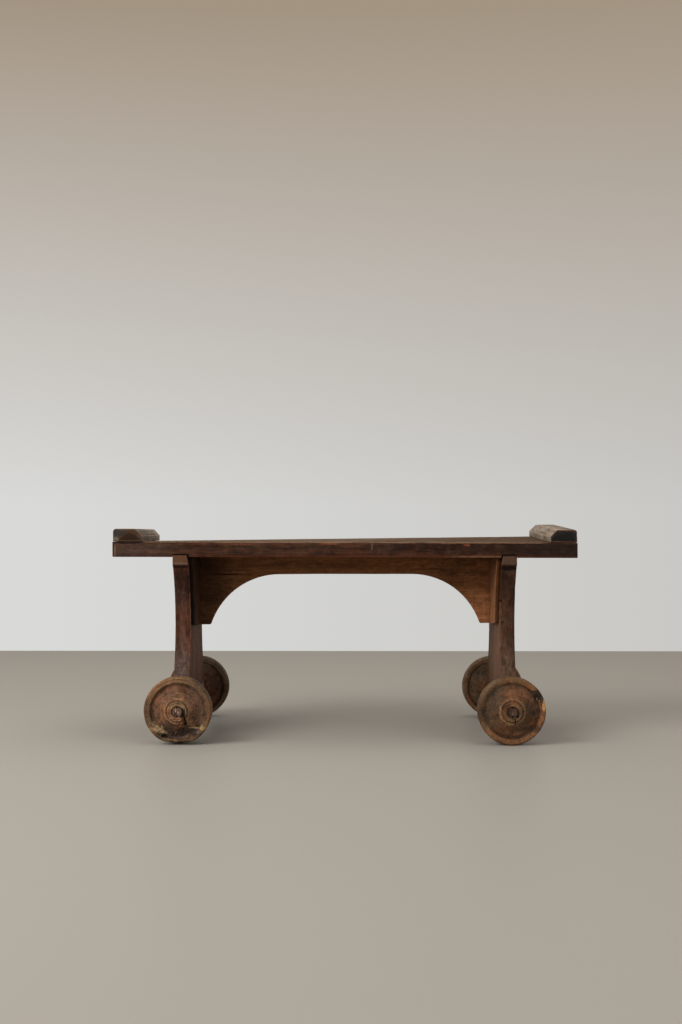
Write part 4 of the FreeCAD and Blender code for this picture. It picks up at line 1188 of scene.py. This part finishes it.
def make_nails(places, outward):
    """Hand-made nail heads: low, uneven domes, each a little different, just proud of the wood."""
    iron = bmesh.new()
    for count, place in enumerate(places):
        made = bmesh.ops.create_uvsphere(iron, u_segments=24, v_segments=12, radius=1.0)["verts"]
        for vert in made:
            dented = 1 + 0.10 * ragged(vert.co, 0.9, count + 60)
            domed = 1 + 0.25 * ragged(vert.co, 0.6, count)
            vert.co = Vector((vert.co.x * dented, vert.co.y * dented, vert.co.z * domed))
        bmesh.ops.scale(iron, vec=(WORN_HEAD, WORN_HEAD, HEAD_RISE), verts=made)
        turn = Vector((0, 0, 1)).rotation_difference(outward)
        bmesh.ops.rotate(iron, cent=(0, 0, 0), matrix=turn.to_matrix(), verts=made)
        bmesh.ops.translate(iron, vec=place + outward * (PROUD - HEAD_RISE), verts=made)
    return iron


def nail_cleat(side, finish):
    """Three heads along a cleat's top, about level with the worn wood."""
    low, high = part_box(f"cleat_nails_{side}")
    rows = (low.y + SOLID_HEAD, (low.y + high.y) / 2, high.y - SOLID_HEAD)
    places = [Vector(((low.x + high.x) / 2, back, high.z - 0.5 * MM)) for back in rows]
    iron = make_nails(places, Vector((0, 0, 1)))
    twist(iron)
    set_in_place(iron, f"cleat_nail_heads_{side}", f"cleat_nails_{side}", [finish])


def nail_backing(side, finish):
    """Four heads in a backing's inner face."""
    low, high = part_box(f"backing_nails_{side}")
    inward = 1 if side == "left" else -1
    face = high.x if side == "left" else low.x
    places = [Vector((face - inward * 0.2 * MM, back, level))
              for back in (low.y + SOLID_HEAD, high.y - SOLID_HEAD)
              for level in (low.z + SOLID_HEAD, high.z - SOLID_HEAD)]
    iron = make_nails(places, Vector((inward, 0, 0)))
    set_in_place(iron, f"backing_nail_heads_{side}", f"backing_nails_{side}", [finish])


IRON = make_iron()
for side in SIDES:
    nail_cleat(side, IRON)
    nail_backing(side, IRON)


# ---- floor, light and camera ----

FLOOR_HALF_WIDTH = 30
FLOOR_HALF_DEPTH = 15
FLOOR_BACK = 1.585


def make_floor():
    """A plain pale floor that ends behind the stand, where the wall begins."""
    shape = bmesh.new()
    bmesh.ops.create_grid(shape, x_segments=1, y_segments=1, size=1)
    bmesh.ops.scale(shape, vec=(FLOOR_HALF_WIDTH, FLOOR_HALF_DEPTH, 1), verts=shape.verts)
    bmesh.ops.translate(shape, vec=(0, FLOOR_BACK - FLOOR_HALF_DEPTH, 0), verts=shape.verts)
    mesh = bpy.data.meshes.new("floor")
    shape.to_mesh(mesh)
    shape.free()
    finish, _, shader = new_finish("pale_floor")
    shader.inputs["Base Color"].default_value = colour(155, 149, 139)
    shader.inputs["Roughness"].default_value = 0.45
    mesh.materials.append(finish)
    floor = bpy.data.objects.new("floor", mesh)
    bpy.context.collection.objects.link(floor)


def make_light(name, place, aim, width, power):
    """A square lamp that looks from a place towards another."""
    light = bpy.data.lights.new(name, "AREA")
    light.shape = "SQUARE"
    light.size = width
    light.energy = power
    lamp = bpy.data.objects.new(name, light)
    bpy.context.collection.objects.link(lamp)
    lamp.location = place
    lamp.rotation_euler = (Vector(aim) - Vector(place)).to_track_quat("-Z", "Y").to_euler()


def make_world():
    """Even light for the object; the camera and reflections see a pale wall that darkens upwards."""
    world = bpy.data.worlds.new("studio")
    bpy.context.scene.world = world
    world.use_nodes = True
    tree = world.node_tree
    tree.nodes.clear()
    direction = add(tree, "ShaderNodeTexCoord").outputs["Generated"]
    parts = add(tree, "ShaderNodeSeparateXYZ", {0: direction}).outputs
    # The wall is painted light and shade: brightest low down on the left, darker to the right and darker
    # upwards.
    to_right = straight_spread(tree, parts["X"], -0.22, 0.22)
    low_wall = stain(tree, colour(217, 217, 215), colour(201, 200, 197), to_right)
    wall = stain(tree, low_wall, colour(163, 148, 130), straight_spread(tree, parts["Z"], 0.0, 0.33))
    seen = add(tree, "ShaderNodeBackground", {"Color": wall, "Strength": 1.0}).outputs[0]
    even = add(tree, "ShaderNodeBackground", {"Color": (1, 1, 1, 1), "Strength": 0.5}).outputs[0]
    path = add(tree, "ShaderNodeLightPath").outputs
    to_eye = reckon(tree, "MAXIMUM", path["Is Camera Ray"], path["Is Glossy Ray"])
    mixed = add(tree, "ShaderNodeMixShader", {0: to_eye, 1: even, 2: seen}).outputs[0]
    add(tree, "ShaderNodeOutputWorld", {"Surface": mixed})


def make_camera():
    """The camera, low in front of the stand and almost level."""
    camera = bpy.data.objects.new("camera", bpy.data.cameras.new("camera"))
    bpy.context.collection.objects.link(camera)
    camera.data.lens = 50
    camera.data.sensor_width = 36
    camera.location = (0.0158, -2.897, 0.4507)
    camera.rotation_euler = (math.radians(90 - 0.16), 0, math.radians(0.48))
    bpy.context.scene.camera = camera


make_floor()
make_world()
make_light("window", (-2.5, -1.9, 2.2), aim=(0, 0, 0.3), width=2.0, power=112)
make_light("fill", (2.4, -2.3, 1.3), aim=(0, 0, 0.2), width=1.6, power=22)
make_light("ceiling", (0.3, 0.2, 2.8), aim=(0, 0, 0.3), width=2.0, power=22)
make_camera()
bpy.context.scene.view_settings.view_transform = "Standard"
